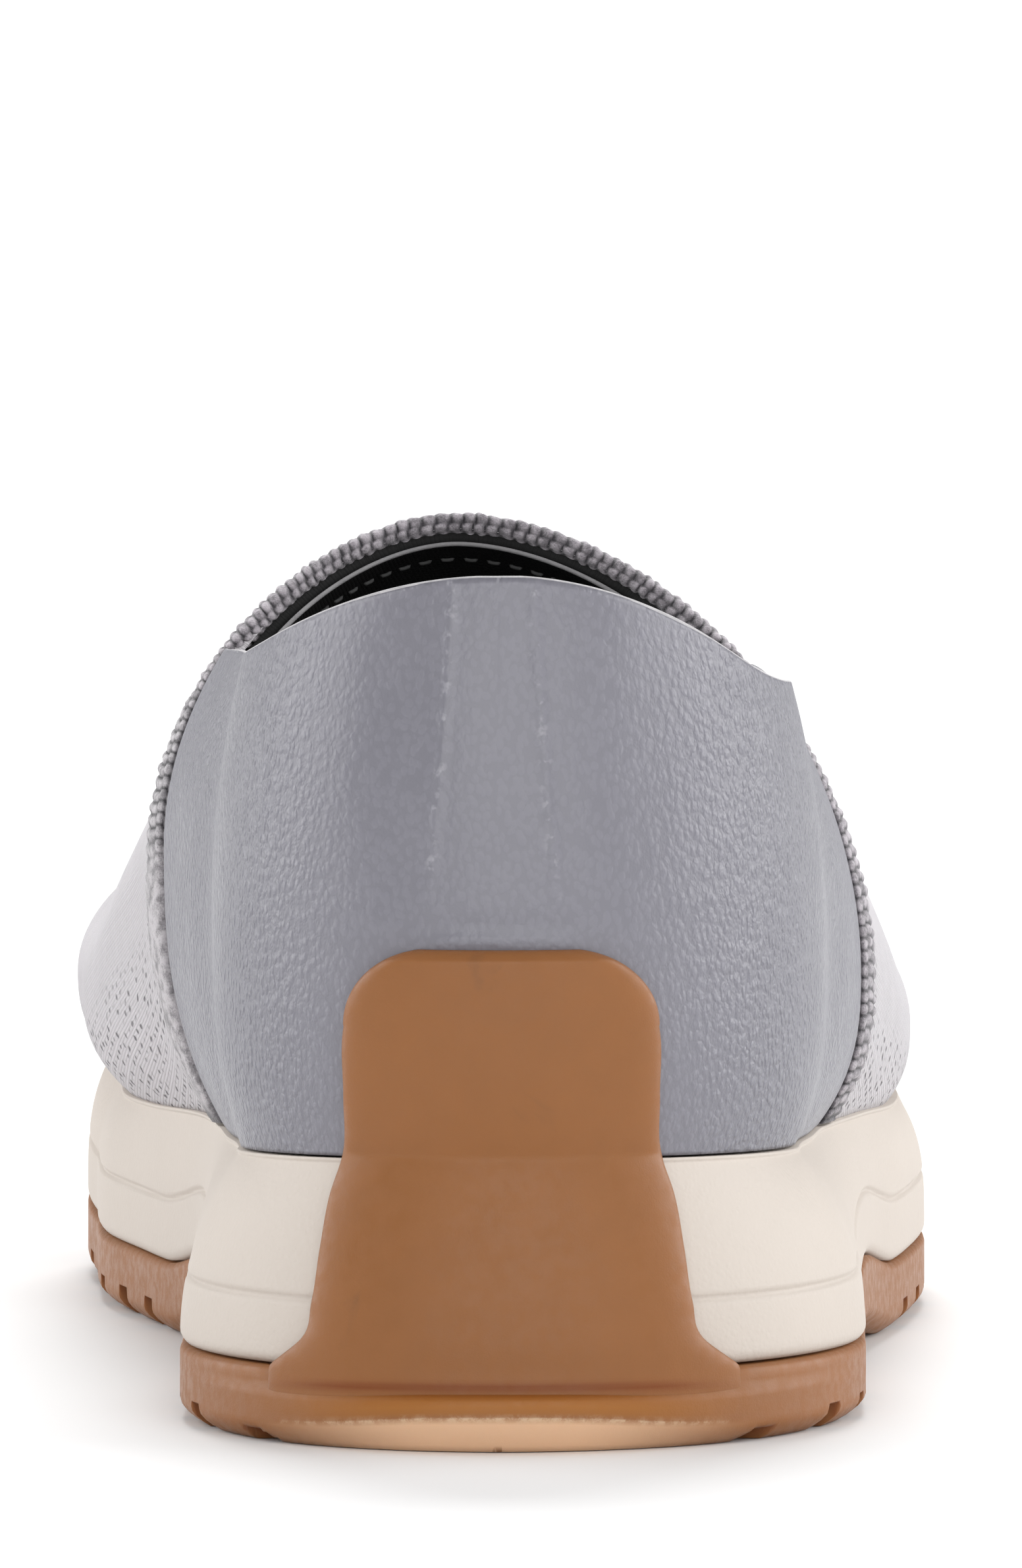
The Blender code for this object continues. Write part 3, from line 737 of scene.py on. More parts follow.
class Material(Tree):
    """A material with its wiring and its Principled BSDF."""

    def __init__(self, name: str, roughness: float) -> None:
        """Start the material."""
        self.made = bpy.data.materials.new(name)
        self.made.use_nodes = True
        super().__init__(self.made.node_tree)
        self.shader = self.tree.nodes["Principled BSDF"]
        self.dress({"Roughness": roughness})

    def dress(self, values: dict) -> None:
        """Feed values to inputs of the shader by their names."""
        for name, value in values.items():
            self.feed(self.shader.inputs[name], value)

    def bump(self, height: Value, distance: float) -> None:
        """Feed a height in metres times distance to the shader's normal."""
        node = self.add("Bump", {"Height": height, "Distance": distance, "Strength": 1.0})
        self.dress({"Normal": node.outputs[0]})

    def place(self) -> bpy.types.NodeSocket:
        """Object coordinates."""
        return self.add("TexCoord").outputs["Object"]

    def mark(self, name: str) -> bpy.types.NodeSocket:
        """Attribute of the mesh by its name."""
        return self.add("Attribute", attribute_name=name).outputs["Fac"]

    def tint(self, effects: Effects, colour: tuple, cloud: Cloud) -> bpy.types.NodeOutputs:
        """Colour with a cloudy change."""
        return self.group(effects.mottle, Vector=self.place(), Color=colour, Amount=cloud.amount,
                          Scale=cloud.scale)


WHITE = (1, 1, 1, 1)


@dataclass(frozen=True)
class LeatherFinish:
    """Soft pebbled leather, smooth along its turned border, with a painted highlight of pale beads along its
    ridges.
    """

    colour: tuple = (0.178, 0.175, 0.203, 1.0)
    # Colour of the painted highlight on the two ridges.
    ridge_highlight: tuple = (0.520, 0.515, 0.545, 1.0)
    cloud: Cloud = Cloud(0.12, 38.0)
    crease_shade: float = 0.93
    cell_scale: float = 1300.0
    upright: float = 0.70
    warp: float = 0.0008
    grain_depth: float = 0.00034
    faint: float = 0.20
    smooth_to: float = 0.013
    full_from: float = 0.031
    fibre_scale: float = 950.0
    roughness: float = 0.38
    rough_change: float = 0.05
    specular: float = 0.55

    def material(self, effects: Effects) -> bpy.types.Material:
        """Leather, whose grain fades by the border attribute and towards the middle of the heel."""
        made = Material("pebbled_leather", self.roughness)
        place = made.place()
        tall = made.vector("MULTIPLY", {0: place, 1: (1.0, 1.0, self.upright)})
        grain = made.group(effects.pebble, Vector=tall, Scale=self.cell_scale, Warp=self.warp)
        off_middle = made.maths("ABSOLUTE", made.parts(place)[0])
        sides = made.span(off_middle, self.smooth_to, self.full_from, self.faint, 1.0)
        colour = made.tint(effects, self.colour, self.cloud)
        plain = made.maths("SUBTRACT", 1.0, made.mark("border"))
        depth = made.times(made.times(plain, made.span(colour["Value"], 0.3, 0.7, 0.6, 1.0)), sides)
        shade = made.span(grain["Crease"], 0.0, 1.0, self.crease_shade, 1.0)
        dark = made.vector("SCALE", {0: colour["Color"], "Scale": shade})
        fibres = made.noise(place, self.fibre_scale, 2.0)[0]
        # Painted highlight: pale beads along the two ridges at the centre back.
        ridge_highlight = made.times(made.mark("ridge"), made.span(fibres, 0.54, 0.70, 0.0, 0.34))
        made.bump(made.times(grain["Height"], depth), self.grain_depth)
        rough = made.span(colour["Value"], 0.3, 0.7, self.roughness - self.rough_change,
                          self.roughness + self.rough_change)
        made.dress({"Base Color": made.blend(ridge_highlight, dark, self.ridge_highlight), "Roughness": rough,
                    "Specular IOR Level": self.specular})
        return made.made


@dataclass(frozen=True)
class FibreFinish:
    """Fibres of one cloudy colour: a cut edge, a light binding or sewing thread."""

    name: str
    colour: tuple
    roughness: float
    cloud: Cloud
    depth: float

    def material(self, effects: Effects) -> bpy.types.Material:
        """Fibres whose bump follows their colour."""
        made = Material(self.name, self.roughness)
        tint = made.tint(effects, self.colour, self.cloud)
        made.dress({"Base Color": tint["Color"]})
        made.bump(tint["Value"], self.depth)
        return made.made


@dataclass(frozen=True)
class KnitFinish:
    """Fine vamp knit with rows of pin holes low on its sides."""

    colour: tuple = (0.540, 0.517, 0.540, 1.0)
    hole_colour: tuple = (0.110, 0.100, 0.112, 1.0)
    cloud: Cloud = Cloud(0.22, 240.0)
    wale: float = 0.00092
    course: float = 0.00068
    hole_pitch: float = 0.00135
    hole_stretch: float = 2.3
    hole_radius: float = 0.31
    hole_nudge: float = 1.4
    depth: float = 0.00016

    def pin_holes(self, made: Material, surface: Value) -> bpy.types.NodeSocket:
        """Round holes on a staggered grid, pushed about by noise and open to different degrees."""
        split = made.parts(made.pushed(surface, 330.0, 1.0, self.hole_pitch * self.hole_nudge))
        row = made.maths("DIVIDE", split[0], self.hole_pitch)
        odd = made.times(made.maths("FLOORED_MODULO", made.maths("FLOOR", row), 2.0), 0.5)
        column = made.plus(made.maths("DIVIDE", split[1], self.hole_pitch * self.hole_stretch), odd)
        offs = [made.maths("SUBTRACT", made.maths("FRACT", cell), 0.5) for cell in (column, row)]
        squares = [made.maths("POWER", off, 2.0) for off in offs]
        far = made.maths("SQRT", made.plus(*squares))
        spot = made.span(far, self.hole_radius * 0.35, self.hole_radius, 1.0, 0.0)
        open_share = made.noise(surface, 300.0, 1.0)[0]
        return made.times(spot, made.span(open_share, 0.40, 0.58, 0.08, 1.0))

    def material(self, effects: Effects) -> bpy.types.Material:
        """Knit on the surface's own coordinates, its holes where the holes attribute says."""
        made = Material("vamp_knit", 0.9)
        surface = made.add("UVMap", uv_map="surface").outputs[0]
        loops = made.group(effects.loops, Vector=surface, Wale=self.wale, Course=self.course)[0]
        tint = made.tint(effects, self.colour, self.cloud)
        hole = made.times(self.pin_holes(made, surface), made.mark("holes"))
        # Painted shade: the colour darkens between the knit loops.
        loop_shade = made.vector("SCALE", {0: tint["Color"], "Scale": made.span(loops, 0.0, 0.6, 0.86, 1.0)})
        soft = made.plus(loops, tint["Value"])
        made.bump(made.maths("SUBTRACT", soft, made.times(hole, 2.0)), self.depth)
        made.dress({"Base Color": made.blend(hole, loop_shade, self.hole_colour), "Sheen Weight": 0.2,
                    "Sheen Roughness": 0.5})
        return made.made


@dataclass(frozen=True)
class RibFinish:
    """Melange yarn of the ribbed band, with painted shade darkening its valleys, and paler down the inner
    side of the foot.
    """

    dark: tuple = (0.022, 0.020, 0.024, 1.0)
    light: tuple = (0.440, 0.405, 0.438, 1.0)
    pale: tuple = (0.500, 0.475, 0.495, 1.0)
    cloud: Cloud = Cloud(1.6, 700.0)
    depth: float = 0.0005

    def material(self, effects: Effects) -> bpy.types.Material:
        """Yarn whose colour follows the lift attribute, dark where lift is low as painted shade in the
        valleys, with fine twisted strands as bump.
        """
        made = Material("ribbed_knit", 0.95)
        yarn = made.tint(effects, WHITE, self.cloud)["Value"]
        # Painted shade: the valleys between ribs and loops go dark, broken by the melange yarn's own light
        # and dark strands.
        share = made.times(made.span(made.mark("lift"), 0.05, 0.9), made.span(yarn, 0.34, 0.62, 0.35, 1.0))
        light = made.blend(made.mark("pale"), self.light, self.pale)
        made.bump(yarn, self.depth)
        made.dress({"Base Color": made.blend(share, self.dark, light), "Sheen Weight": 0.25})
        return made.made


@dataclass(frozen=True)
class FoamFinish:
    """Cream moulded foam with a very fine skin."""

    colour: tuple = (0.505, 0.450, 0.400, 1.0)
    speck: tuple = (0.35, 0.28, 0.22, 1)
    cloud: Cloud = Cloud(0.06, 45.0)
    depth: float = 0.00003

    def material(self, effects: Effects) -> bpy.types.Material:
        """Foam with a slight leathery mould texture and few dark specks."""
        made = Material("foam", 0.62)
        place = made.place()
        tint = made.tint(effects, self.colour, self.cloud)
        dots = made.group(effects.specks, Vector=place, Scale=260.0, Share=0.010)[0]
        skin = made.group(effects.pebble, Vector=place, Scale=1500.0, Warp=0.0006)
        made.dress({"Base Color": made.blend(made.times(dots, 0.35), tint["Color"], self.speck)})
        made.bump(skin["Height"], self.depth)
        return made.made


@dataclass(frozen=True)
class GumFinish:
    """Honey-brown gum rubber: painted shade in its creases and grooves, the chamfer painted pale as
    reflection of the bright floor, a painted beaded glint, and scuffs.
    """

    colour: tuple = (0.245, 0.098, 0.031, 1.0)
    # Colour of the painted shade in creases and grooves.
    deep: tuple = (0.165, 0.040, 0.006, 1.0)
    amber: tuple = (0.325, 0.125, 0.022, 1.0)
    # Chamfer colour: painted reflection of the bright floor below it.
    pale: tuple = (0.720, 0.470, 0.300, 1.0)
    scuff: tuple = (0.120, 0.060, 0.032, 1.0)
    glint: tuple = (0.85, 0.68, 0.48, 1.0)
    cloud: Cloud = Cloud(0.25, 50.0)
    dust: Cloud = Cloud(1.0, 700.0)
    depth: float = 0.00006

    def material(self, effects: Effects) -> bpy.types.Material:
        """Gum; attributes mark the painted shade in creases, the amber, the chamfer's pale painted floor
        reflection and the painted glint.
        """
        made = Material("gum_rubber", 0.42)
        smears = made.noise(made.place(), 95.0, 6.0, 1.2)[0]
        colour = made.tint(effects, self.colour, self.cloud)["Color"]
        colour = made.blend(made.span(smears, 0.64, 0.80, 0.0, 0.30), colour, self.scuff)
        # Amber tint, then the chamfer's painted floor reflection, then painted shade in creases and grooves.
        for name in ("amber", "pale", "deep"):
            colour = made.blend(made.mark(name), colour, getattr(self, name))
        dust = made.tint(effects, WHITE, self.dust)["Value"]
        beads = made.times(made.mark("glint"), made.span(dust, 0.42, 0.62, 0.1, 0.5))
        made.bump(dust, self.depth)
        made.dress({"Base Color": made.blend(beads, colour, self.glint),
                    "Roughness": made.span(dust, 0.35, 0.65, 0.36, 0.54), "Specular IOR Level": 0.28,
                    "Subsurface Weight": 0.10, "Subsurface Radius": (0.003, 0.0012, 0.0005),
                    "Subsurface Scale": 1.0})
        return made.made


@dataclass(frozen=True)
class LiningFinish:
    """Near-black textile lining."""

    colour: tuple = (0.014, 0.014, 0.014, 1.0)
    cloud: Cloud = Cloud(0.5, 200.0)
    wale: float = 0.0011
    course: float = 0.0008
    depth: float = 0.0001

    def material(self, effects: Effects) -> bpy.types.Material:
        """Fine dark weave."""
        made = Material("lining", 0.95)
        surface = made.add("UVMap", uv_map="surface").outputs[0]
        loops = made.group(effects.loops, Vector=surface, Wale=self.wale, Course=self.course)[0]
        made.bump(loops, self.depth)
        made.dress({"Base Color": made.tint(effects, self.colour, self.cloud)["Color"],
                    "Specular IOR Level": 0.2})
        return made.made


@dataclass
class Finishes:
    """Every material of the shoe."""

    effects: Effects = field(default_factory=Effects)

    def __post_init__(self) -> None:
        """Make the materials."""
        self.leather = LeatherFinish().material(self.effects)
        edge = Cloud(0.8, 400.0)
        # Pale edge colour: partly the cut edge's own colour, partly a painted highlight where the topline's
        # rim catches light.
        self.edge = FibreFinish("light_edge", (0.42, 0.41, 0.42, 1.0), 0.7, edge,
                                0.0002).material(self.effects)
        self.binding = FibreFinish("throat_edge", (0.20, 0.195, 0.20, 1.0), 0.7, edge,
                                   0.0002).material(self.effects)
        self.knit = KnitFinish().material(self.effects)
        self.rib = RibFinish().material(self.effects)
        self.foam = FoamFinish().material(self.effects)
        self.gum = GumFinish().material(self.effects)
        self.lining = LiningFinish().material(self.effects)
        self.thread = FibreFinish("thread", (0.035, 0.035, 0.035, 1.0), 0.8, Cloud(0.6, 1500.0),
                                  0.0001).material(self.effects)


@dataclass
class Quarter:
    """Leather that wraps the heel: rolled border, creases and two splaying ridges at the centre back."""

    wall: float = 0.0014
    border: float = 0.0026
    roll: float = 0.0006
    ridge_height: float = 0.00028
    ridge_width: float = 0.00065
    ridge_spread_top: float = 0.0044
    ridge_spread_low: float = 0.0074
    ridge_lean: float = 0.0006
    ridge_low: float = 0.055
    ridge_top: float = 0.093
    ridge_fade: tuple = (0.056, 0.066)
    ridge_curve: float = 1.3
    bead_pitch: float = 0.0006
    bead_drift: float = 0.0021
    bead_base: float = 0.72
    bead_change: float = 0.28
    crease_reach: float = 0.045
    edge_radius: float = 0.00024
    edge_taper: float = 0.10
    edge_steps: int = 400
    edge_sides: int = 10
    columns: int = 420
    rows: int = 108

    def ridges(self, points: np.ndarray) -> np.ndarray:
        """Closeness to the ridges, a bell curve across each of two lines that splay downwards, in beads."""
        x, z = points[..., 0] - LAST.heel_back_x, points[..., 2]
        down = np.clip((self.ridge_top - z) / (self.ridge_top - self.ridge_low), 0, 1)
        splay = self.ridge_spread_low - self.ridge_spread_top
        spread = self.ridge_spread_top + splay * down**self.ridge_curve
        spread = spread - np.sign(x) * self.ridge_lean
        near = np.exp(-((np.abs(x) - spread) / self.ridge_width) ** 2)
        beads = self.bead_base + self.bead_change * np.sin(z / self.bead_pitch) * np.sin(
            z / self.bead_drift + np.sign(x))
        return near * beads * smoothstep(*self.ridge_fade, z)

    def creases(self, points: np.ndarray) -> np.ndarray:
        """Height of every crease: a bell curve across its line, fading towards its two ends."""
        x, z = points[..., 0], points[..., 2]
        lift = np.zeros_like(x)
        for crease in CREASES:
            reach = math.hypot(crease.dx, crease.dz)
            ax, az = crease.dx / reach, crease.dz / reach
            along = ((x - crease.x) * ax + (z - crease.z) * az) / reach
            across = (z - crease.z) * ax - (x - crease.x) * az + crease.bend * along**2
            fade = 1 - smoothstep(0.45, 1.0, np.abs(along))
            lift = lift + crease.height * np.exp(-(across / crease.width) ** 2) * fade
        return lift * (1 - smoothstep(self.crease_reach * 0.8, self.crease_reach, points[..., 1]))

    def build(self, finishes: Finishes) -> None:
        """Make the quarter as one skin with a leather wall, and the pale line of its cut topline, partly its
        own colour and partly a painted highlight where the rim catches light.
        """
        s = np.linspace(-1, 1, self.columns)[:, None]
        p = THROAT_RIB * (0.55 * s + 0.45 * s**3)
        t = np.linspace(0, 2, self.rows)[None, :]
        along = LAST.stand(np.abs(p))[0]
        to_edge = np.where(np.abs(p) > 1, LAST.throat_base - along, 1.0)
        border = 1 - smoothstep(self.border * 0.7, self.border, to_edge)
        roll = self.roll * np.clip(1 - to_edge / self.border, 0, 1) ** 2
        points = LAST.across_heel(p, t, LAST.gap + self.wall - roll)
        outward = normals_of(points)
        ridge = self.ridges(points)
        points = points + outward * (self.ridge_height * ridge + self.creases(points))[..., None]
        piece = Piece("leather_quarter", "pebbled_leather", ("quarter",))
        piece.add(points, surface_uv(points), border=border, ridge=ridge)
        piece.build(finishes.leather, wall=self.wall)
        line = LAST.across_heel(np.linspace(-0.99, 0.99, self.edge_steps) * THROAT_RIB,
                                np.full(self.edge_steps, 2.0), LAST.gap + self.wall * 0.8)
        line[:, 2] += self.edge_radius * 0.3
        to_end = 1 - np.abs(np.linspace(-1, 1, self.edge_steps))
        radius = self.edge_radius * (0.25 + 0.75 * smoothstep(0.0, self.edge_taper, to_end))
        piece = Piece("topline_edge", "pebbled_leather")
        piece.add(tube(line, radius, self.edge_sides), wrap=True)
        piece.build(finishes.edge, FINE_WELD)


@dataclass
class Vamp:
    """Knit vamp, its lining and the lining of the back."""

    wall: float = 0.0011
    lining_wall: float = 0.0010
    back_wall: float = 0.0021
    back_top: float = 1.985
    rows: int = 230
    columns: int = 170
    lining_grid: tuple = (120, 91)
    back_grid: tuple = (240, 60)
    start: float = 0.004
    seam_ahead: float = 0.0115
    seam_width: float = 0.0013
    seam_top: float = 0.62
    holes_up: tuple = (0.17, 0.29)
    holes_from: tuple = (0.02, 0.03)
    holes_to: tuple = (2.35, 2.6)
    band_width: float = 0.0095

    def holes(self, u: np.ndarray, w: np.ndarray) -> np.ndarray:
        """Where the pin holes are: low on the sides behind the toe, and along a seam ahead of the band."""
        low = 1 - smoothstep(*self.holes_up, 1 - np.abs(w))
        ahead_of_band = smoothstep(*self.holes_from, u - THROAT_RIB)
        behind_toe = 1 - smoothstep(*self.holes_to, u)
        ahead = LAST.stand(u)[0] - LAST.throat_base - self.band_width
        seam = np.exp(-((ahead - self.seam_ahead) / self.seam_width) ** 2) * (np.abs(w) > self.seam_top)
        return np.clip(low * ahead_of_band * behind_toe + seam, 0, 1)

    def grid(self, rows: int, columns: int) -> tuple[np.ndarray, np.ndarray]:
        """Rib numbers and places on the rib for a grid over the vamp."""
        return np.linspace(THROAT_RIB + self.start, 3, rows)[:, None], np.linspace(-1, 1, columns)[None, :]

    def build(self, finishes: Finishes) -> None:
        """Make the knit skin and the two linings."""
        u, w = self.grid(self.rows, self.columns)
        points = LAST.over_foot(u, w)
        across = arc_lengths(points, 1)
        uv = np.stack([across - across[:, [self.columns // 2]], points[..., 1]], axis=-1)
        piece = Piece("knit_vamp", "knit", ("upper",)).add(points, uv, holes=self.holes(u, w))
        piece.build(finishes.knit, SOFT_WELD, self.wall)
        inner = LAST.over_foot(*self.grid(*self.lining_grid), -self.wall - LAST.gap)
        uv = np.stack([arc_lengths(inner, 1), inner[..., 1]], axis=-1)
        Piece("lining_vamp", "lining", ("upper",)).add(inner, uv).build(
            finishes.lining, SOFT_WELD, self.lining_wall)
        p = np.linspace(-THROAT_RIB, THROAT_RIB, self.back_grid[0])[:, None]
        t = np.linspace(0, self.back_top, self.back_grid[1])[None, :]
        back = LAST.across_heel(p, t, 0.0)
        Piece("lining_quarter", "lining", ("upper",)).add(back, surface_uv(back)).build(
            finishes.lining, wall=self.back_wall)


def throat_path(grow: float, count: int, ahead: float = 0.0) -> np.ndarray:
    """Line along the throat's edge, from its medial to its lateral corner, evenly spaced."""
    w = np.linspace(-1 / 3, 1 / 3, 400)
    line = LAST.over_foot(np.full(400, THROAT_RIB + ahead), w, grow)
    length = arc_lengths(line[:, None], 0)[:, 0]
    even = np.linspace(0, length[-1], count)
    return np.stack([np.interp(even, length, line[:, k]) for k in range(3)], axis=1)


def tube(path: np.ndarray, radius: np.ndarray | float, sides: int) -> np.ndarray:
    """Grid of a round tube: circles square to the path, shrinking to a point at both ends."""
    ahead = np.gradient(path, axis=0)
    ahead /= np.linalg.norm(ahead, axis=1, keepdims=True)
    side = np.cross(ahead, np.array([0.0, 0.0, 1.0]))
    side /= np.maximum(np.linalg.norm(side, axis=1, keepdims=True), 1e-9)
    up = np.cross(side, ahead)
    turn = np.linspace(0, 2 * math.pi, sides, endpoint=False)
    radius = np.broadcast_to(np.asarray(radius, float), (len(path),)).copy()
    radius[[0, -1]] = 0.0
    ring = side[:, None] * np.cos(turn)[None, :, None] + up[:, None] * np.sin(turn)[None, :, None]
    return path[:, None] + ring * radius[:, None, None]


@dataclass
class CollarBand:
    """Ribbed band over the throat and down both sides, with its light binding and stitches."""

    wall: float = 0.0024
    width: float = 0.0095
    rib_pitch: float = 0.00150
    rib_depth: float = 0.00055
    loop_pitch: float = 0.0031
    over_edge: float = 0.0016
    binding_radius: float = 0.00026
    binding_grow: float = -0.0019
    binding_back: float = 0.0005
    stitch_length: float = 0.0017
    stitch_pitch: float = 0.0027
    stitch_radius: float = 0.00022
    stitch_lift: float = 0.0002
    stitch_grow: float = -0.0032
    stitch_ahead: float = 0.012
    rib_roundness: float = 0.7
    loop_roundness: float = 0.6
    oval_power: float = 0.75
    back_over: float = 0.0004
    throat_fade: tuple = (0.28, 0.36)
    flat_fade: tuple = (0.62, 0.74)
    flat_lift: float = 0.80
    pale_fade: tuple = (0.34, 0.48)
    lateral_fade: tuple = (0.40, 0.60)
    tip_length: float = 0.004
    steps_per_rib: int = 9
    around: int = 44
    line_steps: int = 900
    binding_grid: tuple = (260, 12)
    stitch_grid: tuple = (7, 6)
    stitch_line_steps: int = 2400

    def oval(self, wave: np.ndarray) -> np.ndarray:
        """Sine or cosine of a circle, filled out towards that of a rounded box."""
        return np.sign(wave) * np.abs(wave) ** self.oval_power

    def band_points(self) -> tuple[np.ndarray, np.ndarray, np.ndarray]:
        """Closed tube over the foot: an oval round the band's middle, swelling with each rib and loop.

        Returns:
            The grid of points, how far each stands on a rib from 0 to 1, and how pale its yarn is.
        """
        w = np.linspace(-0.999, 0.999, self.line_steps)
        middle = LAST.throat_base + LAST.gap + self.width / 2
        line = LAST.over_foot(np.full(self.line_steps, LAST.rib_at(middle)), w, 0.0)
        length = arc_lengths(line[:, None], 0)[:, 0]
        count = int(length[-1] / self.rib_pitch * self.steps_per_rib)
        even = np.linspace(0, length[-1], count)
        w = np.interp(even, length, w)[:, None]
        turn = np.linspace(0, 2 * math.pi, self.around, endpoint=False)[None, :]
        throat = 1 - smoothstep(*self.throat_fade, np.abs(w))
        bottom = LAST.gap - self.over_edge * throat
        top = LAST.gap + self.wall
        back = -self.back_over * throat
        loops = turn / (2 * math.pi) * 2 * (self.width + self.wall) / self.loop_pitch
        stagger = 0.5 * (np.floor(loops) % 2)
        uneven = 0.10 * np.sin(even / 0.0031) + 0.07 * np.sin(even / 0.0012 + 1.0)
        ribs = (even / self.rib_pitch + uneven)[:, None] + stagger * 0.5
        rib = np.abs(np.sin(math.pi * ribs)) ** self.rib_roundness
        loop = np.abs(np.sin(math.pi * loops)) ** self.loop_roundness
        lift = rib * (0.45 + 0.55 * loop)
        fading = smoothstep(*self.flat_fade, -w)
        flatter = 1 - 0.75 * fading
        swell = 0.75 + 0.25 * np.sin(even / 0.00085)[:, None] * np.sin(even / 0.0037)[:, None]
        fat = (lift * swell - 1.0) * self.rib_depth * flatter
        cos_t, sin_t = np.cos(turn), np.sin(turn)
        along = middle + back / 2 + (self.width / 2 - back / 2 + fat) * self.oval(-cos_t)
        grow = (bottom + top) / 2 + ((top - bottom) / 2 + fat) * self.oval(sin_t)
        fade = (smoothstep(0.0, self.tip_length, even)[:, None]
                * smoothstep(0.0, self.tip_length, length[-1] - even)[:, None])
        lift = lift * (1 - fading) + self.flat_lift * fading
        pale = smoothstep(*self.pale_fade, -w) * np.ones_like(lift) + 0.25 * smoothstep(*self.lateral_fade, w)
        place = LAST.over_foot(LAST.rib_at(along), np.broadcast_to(w, along.shape), grow)
        tips = [np.repeat(row.mean(axis=1, keepdims=True), self.around, 1) for row in (place[:1], place[-1:])]
        place = np.concatenate([tips[0], place, tips[1]])
        ends = ((1, 1), (0, 0))
        return place, np.pad(lift * (0.4 + 0.6 * fade), ends, "edge"), np.pad(pale, ends, "edge")

    def build(self, finishes: Finishes) -> None:
        """Make the band, the binding under it and the dashes of the stitch on the lining."""
        points, lift, pale = self.band_points()
        band = Piece("ribbed_band", "ribbed_knit", ("collar_band",))
        band.add(points, surface_uv(points), wrap=True, lift=lift, pale=pale).build(finishes.rib, FINE_WELD)
        path = throat_path(self.binding_grow, self.binding_grid[0])
        path[:, 1] -= self.binding_back
        binding = tube(path, self.binding_radius, self.binding_grid[1])
        Piece("throat_binding", "knit").add(binding, wrap=True).build(finishes.binding, FINE_WELD)
        self.stitches(finishes)

    def stitches(self, finishes: Finishes) -> None:
        """Make the dashed stitch line on the lining, a short tube for each dash."""
        line = throat_path(self.stitch_grow, self.stitch_line_steps, self.stitch_ahead)
        length = arc_lengths(line[:, None], 0)[:, 0]
        steps, sides = self.stitch_grid
        piece = Piece("throat_stitches", "lining")
        for start in np.arange(self.stitch_pitch, length[-1] - self.stitch_pitch, self.stitch_pitch):
            even = np.linspace(start, start + self.stitch_length, steps)
            path = np.stack([np.interp(even, length, line[:, k]) for k in range(3)], axis=1)
            arch = self.stitch_radius * np.sin(np.linspace(0, math.pi, steps)) ** 0.5
            path[:, 2] += self.stitch_lift - arch
            piece.add(tube(path, self.stitch_radius, sides), wrap=True)
        piece.build(finishes.thread, FINE_WELD)


@dataclass
class Midsole:
    """Foam midsole: flared at the heel, round-shouldered in front, with a parting groove round it."""

    groove_height: float = 0.0072
    groove_width: float = 0.0007
    groove_depth: float = 0.00045
    flash_height: float = 0.0005
    flash_out: float = 0.00035
    quarter_wall: float = 0.0014
    edge_round: float = 0.0006
    edge_height: float = 0.0012
    flare_places: tuple = (0.0, 0.35, 0.55, 1.0)
    flare_powers: tuple = (2.0, 2.2, 3.6, 3.6)
    rows: int = 420
    side_steps: int = 70
    across_steps: int = 14

    def side_line(self, side: Side, u: np.ndarray, share: np.ndarray) -> np.ndarray:
        """Points up one side.

        The plan moves from the sole's outline to the feather line by a power of the height, late in
        front and sooner at the heel, and a bell-shaped groove runs round at a set height.

        Args:
            side: Side of the foot.
            u: Rib numbers.
            share: Height as a share of the midsole's own.

        Returns:
            Points, with a last axis of X, Y and Z.
        """
        low_x, low_y = LAST.outline(side, u, "sole", LAST.heel_inset_midsole, LAST.toe_inset_midsole)
        top_x, top_y = LAST.outline(side, u, "base", LAST.heel_inset_feather, LAST.toe_inset_feather,
                                    LAST.gap + self.quarter_wall)
        low_z = LAST.underside(low_y) + LAST.outsole_thickness + LAST.gap
        tall = LAST.feather(top_y) - low_z
        power = np.interp(low_y / LAST.length, self.flare_places, self.flare_powers)
        part = share**power
        height = share * tall
        groove = self.groove_depth * np.exp(-((height - self.groove_height) / (self.groove_width / 2)) ** 2)
        lower_edge = self.edge_round * np.clip(1 - height / self.edge_height, 0, 1) ** 2
        flash = self.flash_out * smoothstep(self.flash_height, self.flash_height * 0.4, tall - height)
        inset = groove + lower_edge - flash
        turn = LAST.stand(u)[1]
        heel = np.where(np.asarray(u) < 1, -1.0, 1.0)
        x = low_x + (top_x - low_x) * part - side.value * inset * np.sin(turn)
        y = low_y + (top_y - low_y) * part - heel * inset * np.cos(turn)
        return np.stack([x, y, low_z + height], axis=-1)

    def build(self, finishes: Finishes) -> None:
        """Make the midsole as closed loops across the shoe."""
        u = np.linspace(0, 3, self.rows)[:, None]
        share = np.sort(np.concatenate([np.linspace(0, 1, self.side_steps - 20),
                                        np.linspace(0.22, 0.48, 12), np.linspace(0.955, 0.998, 8)]))[None, :]
        up = self.side_line(Side.LATERAL, u, share)
        down = self.side_line(Side.MEDIAL, u, share[:, ::-1])
        points = close_across(up, down, self.across_steps)
        Piece("foam_midsole", "foam", ("midsole",)).add(points, wrap=True).build(finishes.foam, SOFT_WELD)


